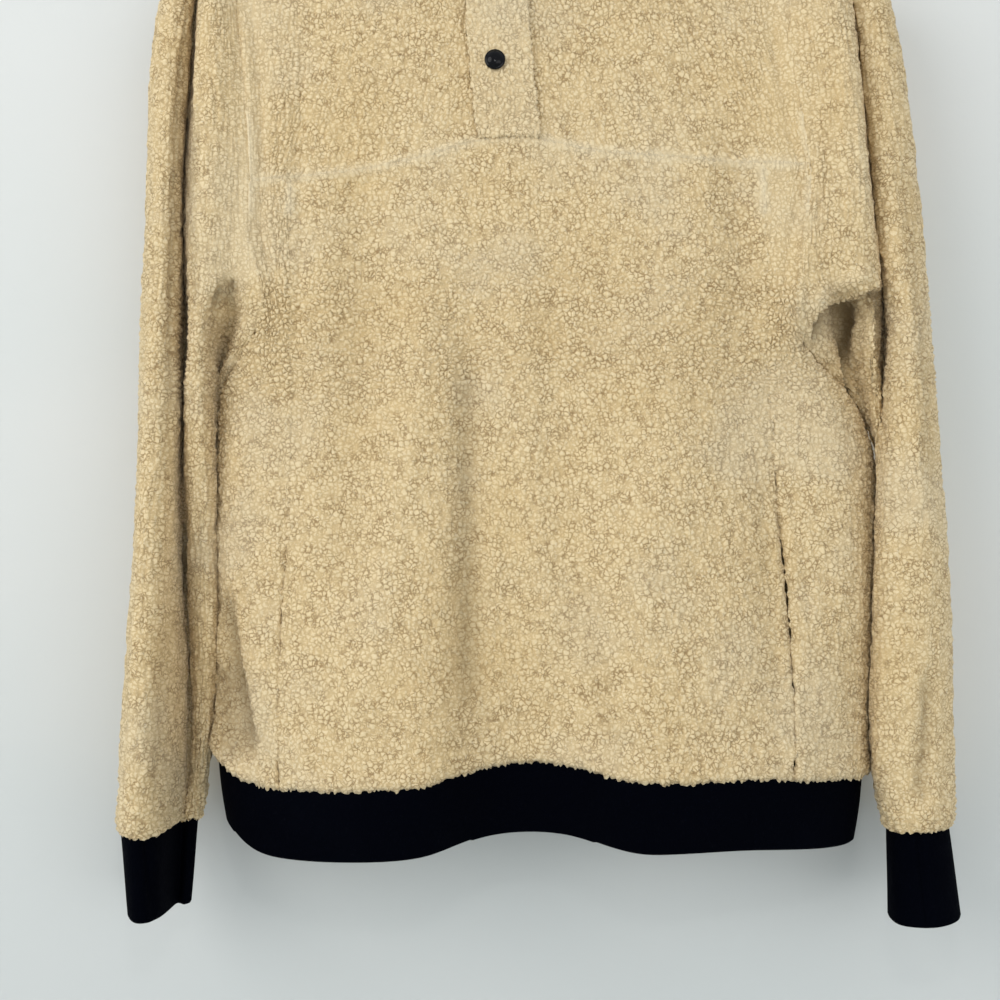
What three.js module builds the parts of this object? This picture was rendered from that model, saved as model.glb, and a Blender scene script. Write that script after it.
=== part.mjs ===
// A sherpa fleece pullover on a clothes hanger, in millimetres.
// +X is to the right of someone facing it, +Y goes back to the wall, +Z is up.
// The origin is the inside top of the hanger's hook, where a nail or rail carries it.
// Each cloth piece is a wall: an outer grid of points, an inner grid and the rim between them.
// Grids of neighbouring pieces share their seam points, so the seams stay a thread apart.
import * as THREE from "three";

// ---- driving dimensions ----
const FLEECE = 3.2; // thickness of the sherpa wall
const KNIT = 2.4; // thickness of the hem band, cuffs and their fold
const SEAM_GAP = 0.3; // clear space between two pieces at a seam
const NECK_HALF = 80; // half width of the neck between the high shoulder points
const SHOULDER_TOP = -98; // height of the high shoulder points
const SHOULDER_SLOPE = 0.317; // fall of the shoulder seam for each millimetre outwards
const NECK_FRONT = -170; // height of the neckline at the centre front
const NECK_BACK = -94; // height of the neckline at the centre back
const NECK_FRONT_Y = -28;
const NECK_BACK_Y = 16;
const COLLAR_HEIGHT = 66;
const COLLAR_LEAN = 0.1; // share of the neck's size that the collar loses at its top
const COLLAR_INSET = 0.99; // the collar starts just inside the neckline
const HEM_BAND_HEIGHT = 50;
const HEM_DRAW = 6; // the band draws in by this much at its lower edge
const HEM_TUCK = 3; // the band lies this far behind the face of the fleece
const CUFF_HEIGHT = 61;
const SLEEVE_END = -765; // height of the seam between sleeve and cuff
const SLEEVE_ROUND = 10; // the fleece rolls in over this height above the cuff
const NECK_ROLL = 0.3; // how far the wall at the high shoulder points turns down
const BODY_ROUNDNESS = 2.4; // superellipse exponent of the body's plan section
const PLACKET = { topX: -15, lowX: -4, width: 43, lift: 1.1, thickness: 3.4, rows: 7 };
const SNAP = { radius: 7.5, height: 4.2, heights: [-121, -175, -229], x: -14, lift: 0.5 };
const MOUTH = { top: -530, bottom: -665, opening: 3 }; // pocket mouth in the side-front seam
const HANGER = { thickness: 9, depth: 26, reach: 184, below: 8, crown: 9, crownWidth: 46 };
const HOOK = { wire: 2.4, radius: 20, bow: 3, bowHeight: 34, straight: 18 };

const SIDE_COLUMNS = 6; // columns from a side edge to the side-front seam
const FRONT_COLUMNS = 16; // columns between the two side-front seams
const BACK_SIDE_COLUMNS = 4;
const BACK_COLUMNS = 8;

// ---- tables: one row for each section, fold or station ----

// How far a row lies from its upper edge to its lower one, and the front edge of the body there.
// Above the underarm that edge is the armhole, and below it the side seam.
const YOKE_ROWS = [
  { share: 0, left: 200, leftY: 0, right: 205, rightY: 0 },
  { share: 0.07, left: 199, leftY: -13, right: 202, rightY: -13 },
  { share: 0.18, left: 198, leftY: -20, right: 196, rightY: -20 },
  { share: 0.38, left: 195, leftY: -26, right: 191, rightY: -26 },
  { share: 0.66, left: 188, leftY: -32, right: 197, rightY: -32 },
  { share: 1, left: 184, leftY: -37, right: 206, rightY: -37 },
];
const LOWER_ROWS = [
  { share: 0.09, left: 185, leftY: -41, right: 202, rightY: -42 },
  { share: 0.195, left: 174, leftY: -45, right: 195, rightY: -45 },
  { share: 0.22, left: 173, leftY: -43, right: 194, rightY: -44 },
  { share: 0.25, left: 179, leftY: -38, right: 194, rightY: -41 },
  { share: 0.285, left: 191, leftY: -25, right: 199, rightY: -33 },
  { share: 0.325, left: 202, leftY: -9, right: 215, rightY: -14 },
  { share: 0.352, left: 207, leftY: 1, right: 229, rightY: -3 },
  { share: 0.378, left: 210, leftY: 8, right: 243, rightY: 6 },
  { share: 0.46, left: 214, leftY: 12, right: 258, rightY: 9 },
  { share: 0.56, left: 216, leftY: 13, right: 262, rightY: 10 },
  { share: 0.68, left: 215, leftY: 13, right: 260, rightY: 10 },
  { share: 0.79, left: 215, leftY: 13, right: 258, rightY: 11 },
  { share: 0.9, left: 215, leftY: 13, right: 256, rightY: 12 },
  { share: 1, left: 218, leftY: 12, right: 255, rightY: 12 },
];
const UNDERARM = YOKE_ROWS.length + 7; // the row where armhole and side seam meet
const ROWS = [...YOKE_ROWS, ...LOWER_ROWS];

const CHEST_SEAM = [
  { x: -185, z: -313 },
  { x: -95, z: -303 },
  { x: -45, z: -291 },
  { x: -27, z: -284 },
  { x: 19, z: -283 },
  { x: 45, z: -291 },
  { x: 110, z: -296 },
  { x: 207, z: -302 },
];
const HEM_SEAM = [
  { x: -217, z: -712 },
  { x: -207, z: -716 },
  { x: -197, z: -723 },
  { x: -183, z: -729 },
  { x: -118, z: -729 },
  { x: -57, z: -724 },
  { x: -17, z: -716 },
  { x: 12, z: -714 },
  { x: 40, z: -716 },
  { x: 75, z: -722 },
  { x: 160, z: -722 },
  { x: 212, z: -726 },
  { x: 255, z: -729 },
];
// Where the side-front seams run, from the chest seam to the hem.
const SIDE_FRONT_SEAM = [
  { z: -305, left: 157, right: 172 },
  { z: -430, left: 157, right: 176 },
  { z: -535, left: 157, right: 182 },
  { z: -655, left: 163, right: 190 },
  { z: -725, left: 161, right: 189 },
];
// How far the front stands before the shoulder line, and the back behind it, at a drop below it.
const DEPTH = [
  { drop: 0, front: 0, back: 0 },
  { drop: 12, front: 12, back: 12 },
  { drop: 30, front: 17, back: 15 },
  { drop: 72, front: 27, back: 18 },
  { drop: 200, front: 38, back: 24 },
  { drop: 300, front: 47, back: 28 },
  { drop: 400, front: 60, back: 32 },
  { drop: 500, front: 76, back: 35 },
  { drop: 600, front: 90, back: 37 },
  { drop: 640, front: 90, back: 37 },
  { drop: 700, front: 82, back: 35 },
];
// Soft folds: an axis from its upper to its lower end, half width, depth and how square it is.
const FRONT_FOLDS = [
  { x: 4, z: -390, lowX: 9, lowZ: -770, width: 50, depth: 42, square: 4, ends: "low" },
  { x: -98, z: -300, lowX: -112, lowZ: -650, width: 17, depth: 6, square: 2, ends: "both" },
  { x: -148, z: -180, lowX: -150, lowZ: -600, width: 12, depth: 4, square: 2, ends: "both" },
  { x: 150, z: -280, lowX: 190, lowZ: -690, width: 16, depth: 8, square: 2, ends: "both" },
];
const BACK_FOLDS = [
  { x: -90, z: -330, lowX: -104, lowZ: -790, width: 24, depth: -9, square: 2, ends: "low" },
  { x: 40, z: -390, lowX: 36, lowZ: -790, width: 30, depth: -7, square: 2, ends: "low" },
  { x: 140, z: -250, lowX: 158, lowZ: -680, width: 20, depth: -6, square: 2, ends: "both" },
];

// Plan sections of a sleeve, in millimetres out from the centre of the garment and back in Y.
// side: the inner side; crest: the front fold beside the body; lipIn, crease and lipOut: the long
// crease; outer: the front fold at the outside; edge: the outer edge; seam: the under-sleeve seam.
const SLEEVE_COLUMNS = [
  "z", "sideX", "sideY", "crestX", "crestY", "lipIn", "creaseX", "creaseY", "lipOut",
  "outerY", "edgeX", "backY", "seamX",
];
const withColumns = (rows) =>
  rows.map((row) => Object.fromEntries(SLEEVE_COLUMNS.map((column, k) => [column, row[k]])));
const SLEEVES = {
  left: withColumns([
    [-183, 204, -30, 212, -35, 220, 233, 4, 230, -22, 259, 24, 213],
    [-225, 199, -37, 212, -43, 224, 235, 4, 231, -30, 262, 26, 213],
    [-285, 199, -43, 213, -48, 229, 240, 4, 234, -36, 264, 28, 213],
    [-345, 199, -46, 213, -50, 230, 241, 4, 235, -40, 266, 29, 213],
    [-391, 195, -46, 212, -48, 229, 240, 4, 235, -43, 268, 30, 213],
    [-402, 200, -14, 213, -46, 228, 240, 4, 236, -43, 268, 30, 213],
    [-414, 204, -1, 215, -44, 228, 240, 4, 236, -44, 268, 30, 213],
    [-440, 212, 4, 217, -40, 230, 241, 4, 237, -46, 268, 30, 214],
    [-465, 217, -1, 221, -36, 231, 242, 4, 238, -48, 268, 30, 218],
    [-506, 215, -13, 220, -33, 231, 242, 4, 239, -51, 269, 30, 221],
    [-556, 214, -12, 219, -28, 230, 240, 4, 243, -56, 270, 30, 222],
    [-606, 213, -11, 219, -24, 228, 239, 5, 243, -60, 273, 30, 222],
    [-664, 214, -7, 219, -18, 225, 236, 7, 244, -64, 276, 30, 222],
    [-721, 221, 1, 226, -7, 230, 238, 8, 245, -67, 279, 30, 225],
    [-765, 229, 12, 233, 4, 237, 241, 8, 245, -66, 281, 30, 231],
  ]),
  right: withColumns([
    [-183, 203, -32, 220, -37, 236, 247, 4, 241, -22, 276, 24, 254],
    [-225, 211, -38, 224, -43, 239, 250, 4, 244, -28, 281, 26, 254],
    [-285, 217, -43, 230, -47, 244, 255, 4, 249, -34, 289, 28, 254],
    [-345, 214, -46, 232, -48, 249, 261, 4, 254, -38, 293, 29, 254],
    [-386, 216, -45, 236, -46, 255, 266, 4, 260, -41, 296, 30, 254],
    [-397, 238, -10, 248, -38, 256, 267, 4, 261, -42, 297, 30, 253],
    [-412, 232, 3, 248, -35, 257, 268, 4, 262, -43, 298, 30, 253],
    [-440, 244, 8, 252, -28, 257, 267, 4, 261, -45, 300, 30, 256],
    [-465, 254, 1, 256, -19, 259, 264, 2, 262, -46, 302, 30, 261],
    [-506, 264, -2, 260, -12, 259, 258, -28, 262, -48, 305, 30, 266],
    [-556, 265, -2, 260, -14, 258, 256, -30, 260, -50, 310, 30, 268],
    [-606, 264, -2, 260, -14, 257, 254, -30, 258, -51, 312, 30, 267],
    [-664, 262, -2, 258, -14, 255, 252, -29, 256, -50, 314, 30, 265],
    [-721, 261, -1, 258, -12, 255, 252, -27, 256, -48, 316, 30, 264],
    [-765, 268, 3, 266, -10, 264, 263, -22, 266, -46, 316, 30, 270],
  ]),
};
const SLEEVE_ROWS_BELOW = [-486, -520, -560, -606, -650, -695, -735, SLEEVE_END + SLEEVE_ROUND];
const LIP_DROP = 0.18; // how far the lips of the long crease lie down it
const BACK_TURN = 0.2; // where the back of the sleeve turns into the under-sleeve seam
const EASING_PASSES = 2;
const UNTANGLE_PASSES = 20;
const LEAST_SPREAD = 0.2; // inner points keep at least this share of the outer spacing
const SLEEVE_STEPS = 2; // columns between two control points of a section
const UNDER_SLEEVE_Y = 13; // how far back the under-sleeve seam hangs
const TIP_DROP = 0.2; // the sleeve's tip lies this far below the shoulder seam's end
const TIP_SPREAD = 0.1; // how much of the sleeve's section is left at its tip
const DOME_HEIGHT = 46; // the sleeve head rounds over this height below its tip
// A cuff is the sleeve's last section drawn in about a centre; it tapers and leans to its edge.
const CUFFS = {
  left: { centreX: 253, centreY: -16, narrowX: 0.92, narrowY: 0.88, taper: 0.82, lean: 0 },
  right: { centreX: 283, centreY: -8, narrowX: 0.86, narrowY: 0.84, taper: 1.16, lean: -14 },
};

// ---- small helpers ----
const point = (x, y, z) => new THREE.Vector3(x, y, z);
const mix = (a, b, t) => a + (b - a) * t;
const clamp01 = (t) => Math.min(1, Math.max(0, t));
const smooth = (t) => clamp01(t) ** 2 * (3 - 2 * clamp01(t));
const towards = (side) => (side === "left" ? -1 : 1);

// Reads one column of a table at a value of its key column, by a smooth curve through the rows.
function read(table, key, at, column) {
  const rising = table[1][key] > table[0][key];
  const rows = rising ? table : [...table].reverse();
  let k = rows.findIndex((row) => row[key] > at) - 1;
  if (k === -2) k = rows.length - 2;
  k = Math.max(0, k);
  const [a, b] = [rows[k], rows[k + 1]];
  const before = rows[Math.max(0, k - 1)];
  const after = rows[Math.min(rows.length - 1, k + 2)];
  const span = b[key] - a[key];
  const t = clamp01((at - a[key]) / span);
  const slopeA = ((b[column] - before[column]) / (b[key] - before[key])) * span;
  const slopeB = ((after[column] - a[column]) / (after[key] - a[key])) * span;
  const [t2, t3] = [t * t, t * t * t];
  return (
    a[column] * (2 * t3 - 3 * t2 + 1) +
    slopeA * (t3 - 2 * t2 + t) +
    b[column] * (3 * t2 - 2 * t3) +
    slopeB * (t3 - t2)
  );
}

// ---- closed walls from grids of points ----

// Unit vectors off the face of a grid, on the side that `facing` says.
function gridNormals(grid, facing) {
  const at = (j, i) => grid[Math.min(grid.length - 1, Math.max(0, j))][
    Math.min(grid[0].length - 1, Math.max(0, i))
  ];
  return grid.map((row, j) =>
    row.map((p, i) => {
      const along = at(j, i + 1).clone().sub(at(j, i - 1));
      const down = at(j + 1, i).clone().sub(at(j - 1, i));
      const normal = along.cross(down).normalize();
      return normal.multiplyScalar(facing);
    }),
  );
}

// A closed wall between two grids of the same size.
function wallGeometry(outer, inner) {
  const [rows, columns] = [outer.length, outer[0].length];
  const positions = [...outer.flat(), ...inner.flat()].flatMap((p) => [p.x, p.y, p.z]);
  const face = (j, i) => j * columns + i;
  const back = (j, i) => rows * columns + j * columns + i;
  const index = [];
  const quad = (a, b, c, d) => index.push(a, b, c, a, c, d);
  const [lastRow, lastColumn] = [rows - 1, columns - 1];
  for (let j = 0; j < lastRow; j++) {
    for (let i = 0; i < lastColumn; i++) {
      quad(face(j, i), face(j + 1, i), face(j + 1, i + 1), face(j, i + 1));
      quad(back(j, i), back(j, i + 1), back(j + 1, i + 1), back(j + 1, i));
    }
    quad(face(j, 0), back(j, 0), back(j + 1, 0), face(j + 1, 0));
    quad(face(j, lastColumn), face(j + 1, lastColumn), back(j + 1, lastColumn), back(j, lastColumn));
  }
  for (let i = 0; i < lastColumn; i++) {
    quad(face(0, i), face(0, i + 1), back(0, i + 1), back(0, i));
    quad(face(lastRow, i), back(lastRow, i), back(lastRow, i + 1), face(lastRow, i + 1));
  }
  if (signedVolume(positions, index) < 0) index.reverse();
  const geometry = new THREE.BufferGeometry();
  geometry.setAttribute("position", new THREE.Float32BufferAttribute(positions, 3));
  geometry.setIndex(index);
  return geometry;
}

function signedVolume(positions, index) {
  const corner = (k) => point(positions[3 * k], positions[3 * k + 1], positions[3 * k + 2]);
  let volume = 0;
  for (let k = 0; k < index.length; k += 3) {
    volume += corner(index[k]).dot(corner(index[k + 1]).cross(corner(index[k + 2]))) / 6;
  }
  return volume;
}

// A sheet is an outer grid with the inward direction at each of its points.
function sheet(grid, facing, inwardAt) {
  const normals = gridNormals(grid, facing);
  const inward = grid.map((row, j) => row.map((p, i) => inwardAt(j, i) ?? normals[j][i].clone().negate()));
  for (let pass = 0; pass < EASING_PASSES; pass++) easeInward(inward, inwardAt);
  return { grid, inward };
}

// Evens out the inward directions along each row, so that the inner wall doesn't cross in a fold.
function easeInward(inward, inwardAt) {
  inward.forEach((row, j) => {
    const before = row.map((v) => v.clone());
    for (let i = 1; i + 1 < row.length; i++) {
      if (inwardAt(j, i)) continue;
      row[i] = before[i - 1].clone().add(before[i + 1]).addScaledVector(before[i], 2).normalize();
    }
  });
}

// Cuts the rows j0..j1 and columns i0..i1 out of a sheet, thickens them and pulls the cut edges in.
// `pull` moves each edge by half a seam gap: [first row, last row, first column, last column].
// It is a vector, or a function that gives one for a row.
function cut(source, [j0, j1], [i0, i1], thickness, pull) {
  const outer = [];
  const inner = [];
  for (let j = j0; j <= j1; j++) {
    outer.push([]);
    inner.push([]);
    for (let i = i0; i <= i1; i++) {
      const shift = point(0, 0, 0);
      const edges = [j === j0, j === j1, i === i0, i === i1];
      edges.forEach((onEdge, k) => {
        if (onEdge) shift.add(typeof pull[k] === "function" ? pull[k](j) : pull[k]);
      });
      const p = source.grid[j][i].clone().add(shift);
      outer.at(-1).push(p);
      inner.at(-1).push(p.clone().addScaledVector(source.inward[j][i], thickness));
    }
  }
  for (let pass = 0; pass < UNTANGLE_PASSES; pass++) outer.forEach((row, j) => untangle(row, inner[j]));
  return wallGeometry(outer, inner);
}

// Spreads inner points that have run past each other at a tight fold, in the order of the outer ones.
function untangle(outer, inner) {
  for (let i = 1; i + 2 < inner.length; i++) {
    const along = outer[i + 1].clone().sub(outer[i]);
    const progress = inner[i + 1].clone().sub(inner[i]).dot(along);
    if (progress >= LEAST_SPREAD * along.lengthSq()) continue;
    const middle = inner[i].clone().add(inner[i + 1]).multiplyScalar(0.5);
    inner[i].copy(middle).addScaledVector(along, -LEAST_SPREAD / 2);
    inner[i + 1].copy(middle).addScaledVector(along, LEAST_SPREAD / 2);
  }
}

// ---- body ----
const shoulderZ = (x) => SHOULDER_TOP - Math.max(0, Math.abs(x) - NECK_HALF) * SHOULDER_SLOPE;
const neckShare = (x) => Math.sqrt(Math.max(0, 1 - (x / NECK_HALF) ** 2));
const neckDepth = (x) => neckShare(x) ** 0.6;
const chestZ = (x) => read(CHEST_SEAM, "x", x, "z");
const hemZ = (x) => read(HEM_SEAM, "x", x, "z");

function foldDepth(folds, x, z) {
  return folds.reduce((sum, fold) => {
    const t = (fold.z - z) / (fold.z - fold.lowZ);
    if (t <= 0) return sum;
    const along = fold.ends === "low" ? smooth(t) : Math.sin(Math.PI * clamp01(t));
    const off = Math.abs(x - mix(fold.x, fold.lowX, clamp01(t))) / fold.width;
    return sum + fold.depth * along * Math.exp(-(off ** fold.square));
  }, 0);
}

// The columns of one row: x positions from the left edge to the right one.
// Between an inner line and the edge they are spaced by angle, so they crowd where the side turns.
function columnsAcross(edgeLeft, innerLeft, innerRight, edgeRight, sideColumns, middleColumns) {
  const half = (edge, inner) => {
    const start = Math.asin((inner / edge) ** (BODY_ROUNDNESS / 2));
    return Array.from({ length: sideColumns + 1 }, (_, k) => {
      const angle = mix(start, Math.PI / 2, k / sideColumns);
      return edge * Math.sin(angle) ** (2 / BODY_ROUNDNESS);
    });
  };
  const left = half(edgeLeft, innerLeft).reverse().map((x) => -x);
  const right = half(edgeRight, innerRight);
  const middle = Array.from({ length: middleColumns - 1 }, (_, k) =>
    mix(-innerLeft, innerRight, (k + 1) / middleColumns),
  );
  return [...left, ...middle, ...right];
}

// The height of row j at x, between the top edge and the hem.
function rowZ(j, x, topZ) {
  if (j < YOKE_ROWS.length) return mix(topZ(x), chestZ(x), ROWS[j].share);
  return mix(chestZ(x), hemZ(x), ROWS[j].share);
}

const frontTop = (x) => mix(shoulderZ(x), NECK_FRONT, neckShare(x));
const backTop = (x) => mix(shoulderZ(x), NECK_BACK, neckShare(x));
const edgeZ = (j, side) => rowZ(j, towards(side) * ROWS[j][side], shoulderZ);

// How far a section has gone from its middle depth to its edge depth at x.
function edgeShare(x, row) {
  const s = Math.min(1, Math.abs(x) / (x < 0 ? row.left : row.right));
  return 1 - (1 - s ** BODY_ROUNDNESS) ** (1 / BODY_ROUNDNESS);
}

const frontMiddle = (x, z) => -read(DEPTH, "drop", shoulderZ(x) - z, "front");
const backMiddle = (x, z) => read(DEPTH, "drop", shoulderZ(x) - z, "back");

function frontY(x, z, row) {
  const edgeY = x < 0 ? row.leftY : row.rightY;
  const share = edgeShare(x, row);
  return mix(frontMiddle(x, z), edgeY, share) + foldDepth(FRONT_FOLDS, x, z) * (1 - share ** 2);
}

const BACK_ARMHOLE = { inset: 9, y: 22, roundness: 0.45 };

// The back armhole stands behind the front one until both meet at the underarm.
function backEdge(j, side) {
  const row = ROWS[j];
  if (j === 0 || j >= UNDERARM) return { x: row[side], y: row[side + "Y"] };
  const open = Math.sin((Math.PI * j) / UNDERARM) ** BACK_ARMHOLE.roundness;
  const straight = mix(ROWS[0][side], ROWS[UNDERARM][side], smooth(j / UNDERARM));
  return { x: straight - BACK_ARMHOLE.inset * open, y: BACK_ARMHOLE.y * open };
}

function backY(x, z, j) {
  const edgeY = backEdge(j, x < 0 ? "left" : "right").y;
  const row = { left: backEdge(j, "left").x, right: backEdge(j, "right").x };
  const share = edgeShare(x, row);
  return mix(backMiddle(x, z), edgeY, share) + foldDepth(BACK_FOLDS, x, z) * (1 - share ** 2);
}

// Inward directions that two neighbouring pieces share at their seam.
function armholeInward(j, facing) {
  const share = j / UNDERARM;
  const fromTip = smooth(share / 0.2);
  const toUnderarm = smooth((share - 0.72) / 0.28);
  return point(0, facing * fromTip * (1 - toUnderarm), toUnderarm - (1 - fromTip)).normalize();
}

function bodyInward(columns, rowX, facing) {
  return (j, i) => {
    const x = rowX(j)[i];
    const atEdge = i === 0 || i === columns;
    if (atEdge && j > 0 && j <= UNDERARM) return armholeInward(j, facing);
    if (atEdge && j > UNDERARM) return point(-Math.sign(x), 0, 0);
    if (j > 0) return null;
    if (Math.abs(x) > NECK_HALF + 1) return point(0, 0, -1); // on the shoulder seam
    const lean = Math.abs(x) / NECK_HALF;
    return point(-Math.sign(x) * lean, facing * (1 - lean ** 4), -(lean ** 6) * NECK_ROLL).normalize();
  };
}

const [SEAM_TOP, SEAM_BOTTOM] = [SIDE_FRONT_SEAM[0].z, SIDE_FRONT_SEAM.at(-1).z];
const frontRowX = (j) => {
  const inner = (side) =>
    j < YOKE_ROWS.length
      ? mix(NECK_HALF, SIDE_FRONT_SEAM[0][side], ROWS[j].share)
      : read(SIDE_FRONT_SEAM, "z", mix(SEAM_TOP, SEAM_BOTTOM, ROWS[j].share), side);
  const { left, right } = ROWS[j];
  return columnsAcross(left, inner("left"), inner("right"), right, SIDE_COLUMNS, FRONT_COLUMNS);
};
const BACK_INNER_SHARE = 0.62; // where the back's side columns start at the hem
const backRowX = (j) => {
  const down = j / (ROWS.length - 1);
  const [left, right] = [backEdge(j, "left").x, backEdge(j, "right").x];
  const inner = (edge) => mix(NECK_HALF, edge * BACK_INNER_SHARE, down);
  return columnsAcross(left, inner(left), inner(right), right, BACK_SIDE_COLUMNS, BACK_COLUMNS);
};

function frontPoint(j, x) {
  const z = rowZ(j, x, frontTop);
  if (j === 0) return point(x, NECK_FRONT_Y * neckDepth(x), z);
  return point(x, frontY(x, z, ROWS[j]), z);
}
function backPoint(j, x) {
  const z = rowZ(j, x, backTop);
  if (j === 0) return point(x, NECK_BACK_Y * neckDepth(x), z);
  return point(x, backY(x, z, j), z);
}

const FRONT_LAST = 2 * SIDE_COLUMNS + FRONT_COLUMNS;
const BACK_LAST = 2 * BACK_SIDE_COLUMNS + BACK_COLUMNS;
const HEM_ROW = ROWS.length - 1;
const frontSheet = sheet(
  ROWS.map((_, j) => frontRowX(j).map((x) => frontPoint(j, x))),
  -1,
  bodyInward(FRONT_LAST, frontRowX, 1),
);
const backSheet = sheet(
  ROWS.map((_, j) => backRowX(j).map((x) => backPoint(j, x))),
  1,
  bodyInward(BACK_LAST, backRowX, -1),
);

// Rolls the last row of a body sheet in, so that the fleece closes over the knit band.
function tuckHem(body) {
  body.grid[HEM_ROW].forEach((p, i) => p.addScaledVector(body.inward[HEM_ROW][i], HEM_TUCK));
}
tuckHem(frontSheet);
tuckHem(backSheet);

// Opens the side-front seam where the pocket mouth is.
function openMouth(geometry, columns, side) {
  const positions = geometry.getAttribute("position");
  for (let k = 0; k < positions.count; k++) {
    const isSeamColumn = k % (columns + 1) === (side === "left" ? columns : 0);
    const share = (MOUTH.top - positions.getZ(k)) / (MOUTH.top - MOUTH.bottom);
    if (!isSeamColumn || share <= 0 || share >= 1) continue;
    positions.setX(k, positions.getX(k) + towards(side) * MOUTH.opening * Math.sin(Math.PI * share));
  }
  return geometry;
}

const HALF_GAP = SEAM_GAP / 2;
const PULL_LEFT = point(-HALF_GAP, 0, 0);
const PULL_RIGHT = point(HALF_GAP, 0, 0);
const PULL_UP = point(0, 0, HALF_GAP);
const PULL_DOWN = point(0, 0, -HALF_GAP);
const COLLAR_RISE = point(0, 0, 0.75);
const BAND_DROP = point(0, 0, -0.45);
const STAY = point(0, 0, 0);
// At the side seams and armholes the front stands before the back and inside the sleeve.
const FRONT_LEFT_EDGE = point(HALF_GAP, -HALF_GAP, 0);
const FRONT_RIGHT_EDGE = point(-HALF_GAP, -HALF_GAP, 0);
const BACK_LEFT_EDGE = point(HALF_GAP, HALF_GAP, 0);
const BACK_RIGHT_EDGE = point(-HALF_GAP, HALF_GAP, 0);
const FRONT_TOP_EDGE = point(0, -HALF_GAP, -HALF_GAP);
const BACK_TOP_EDGE = point(0, HALF_GAP, -HALF_GAP);

function bodyPieces() {
  const yokeRows = [0, YOKE_ROWS.length - 1];
  const lowerRows = [YOKE_ROWS.length - 1, HEM_ROW];
  const centre = FRONT_LAST / 2;
  const [seamLeft, seamRight] = [SIDE_COLUMNS, FRONT_LAST - SIDE_COLUMNS];
  const front = (rows, columns, pull) => cut(frontSheet, rows, columns, FLEECE, pull);
  const side = {
    left: front(lowerRows, [0, seamLeft], [PULL_DOWN, PULL_UP, FRONT_LEFT_EDGE, PULL_LEFT]),
    right: front(lowerRows, [seamRight, FRONT_LAST], [PULL_DOWN, PULL_UP, PULL_RIGHT, FRONT_RIGHT_EDGE]),
  };
  return {
    front_yoke_left: front(yokeRows, [0, centre], [FRONT_TOP_EDGE, PULL_UP, FRONT_LEFT_EDGE, PULL_LEFT]),
    front_yoke_right: front(yokeRows, [centre, FRONT_LAST], [FRONT_TOP_EDGE, PULL_UP, PULL_RIGHT, FRONT_RIGHT_EDGE]),
    front_centre_panel: front(lowerRows, [seamLeft, seamRight], [PULL_DOWN, PULL_UP, PULL_RIGHT, PULL_LEFT]),
    side_front_left: openMouth(side.left, SIDE_COLUMNS, "left"),
    side_front_right: openMouth(side.right, SIDE_COLUMNS, "right"),
    back_panel: cut(
      backSheet,
      [0, HEM_ROW],
      [0, BACK_LAST],
      FLEECE,
      [BACK_TOP_EDGE, PULL_UP, BACK_LEFT_EDGE, BACK_RIGHT_EDGE],
    ),
  };
}

// ---- rings: collar, hem band, sleeves and cuffs ----

// The front row of the body, left to right, and the back row behind it as one loop of points.
const bodyLoop = (j, frontColumns, backColumns) => [
  ...frontSheet.grid[j].slice(...frontColumns),
  ...backSheet.grid[j].slice(...backColumns).reverse(),
];
const loopInward = (j, frontColumns, backColumns) => [
  ...frontSheet.inward[j].slice(...frontColumns),
  ...backSheet.inward[j].slice(...backColumns).reverse(),
];

function hemBand() {
  const all = [0, undefined];
  const inner = [1, -1];
  const loop = bodyLoop(HEM_ROW, all, inner);
  const inward = loopInward(HEM_ROW, all, inner);
  // The loop closes on its own first point, at the left side seam.
  loop.push(loop[0].clone().add(point(0, SEAM_GAP, 0)));
  inward.push(inward[0].clone());
  const rows = [0, 0.5, 1];
  const grid = rows.map((share) =>
    loop.map((p, i) => {
      const drawn = inward[i].clone().multiplyScalar(HEM_DRAW * share ** 2);
      return p.clone().add(drawn).setZ(p.z - HEM_BAND_HEIGHT * share);
    }),
  );
  const source = { grid, inward: rows.map(() => inward) };
  return cut(source, [0, 2], [0, loop.length - 1], KNIT, [BAND_DROP, STAY, STAY, STAY]);
}

function collar() {
  const centre = FRONT_LAST / 2;
  const neck = (sideColumns, last) => [sideColumns, last - sideColumns + 1];
  const front = neck(SIDE_COLUMNS, FRONT_LAST);
  const back = neck(BACK_SIDE_COLUMNS, BACK_LAST);
  const backInner = [back[0] + 1, back[1] - 1];
  const ring = bodyLoop(0, front, backInner);
  const inward = loopInward(0, front, backInner);
  // The ring starts and ends at the centre front, under the placket.
  const start = centre - SIDE_COLUMNS;
  const turn = (list) => [...list.slice(start), ...list.slice(0, start), list[start]];
  const [loop, loopIn] = [turn(ring), turn(inward)];
  const rows = [0, 0.5, 1];
  const grid = rows.map((share) =>
    loop.map((p) => {
      const lean = COLLAR_INSET - COLLAR_LEAN * share;
      return point(p.x * lean, p.y * lean, p.z + COLLAR_HEIGHT * share);
    }),
  );
  const last = rows.length - 1;
  const level = (v) => point(v.x, v.y, 0).normalize();
  const source = { grid: grid.reverse(), inward: rows.map((_, j) => (j === last ? loopIn : loopIn.map(level))) };
  return cut(source, [0, last], [0, loop.length - 1], FLEECE, [STAY, COLLAR_RISE, PULL_RIGHT, PULL_LEFT]);
}

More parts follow.
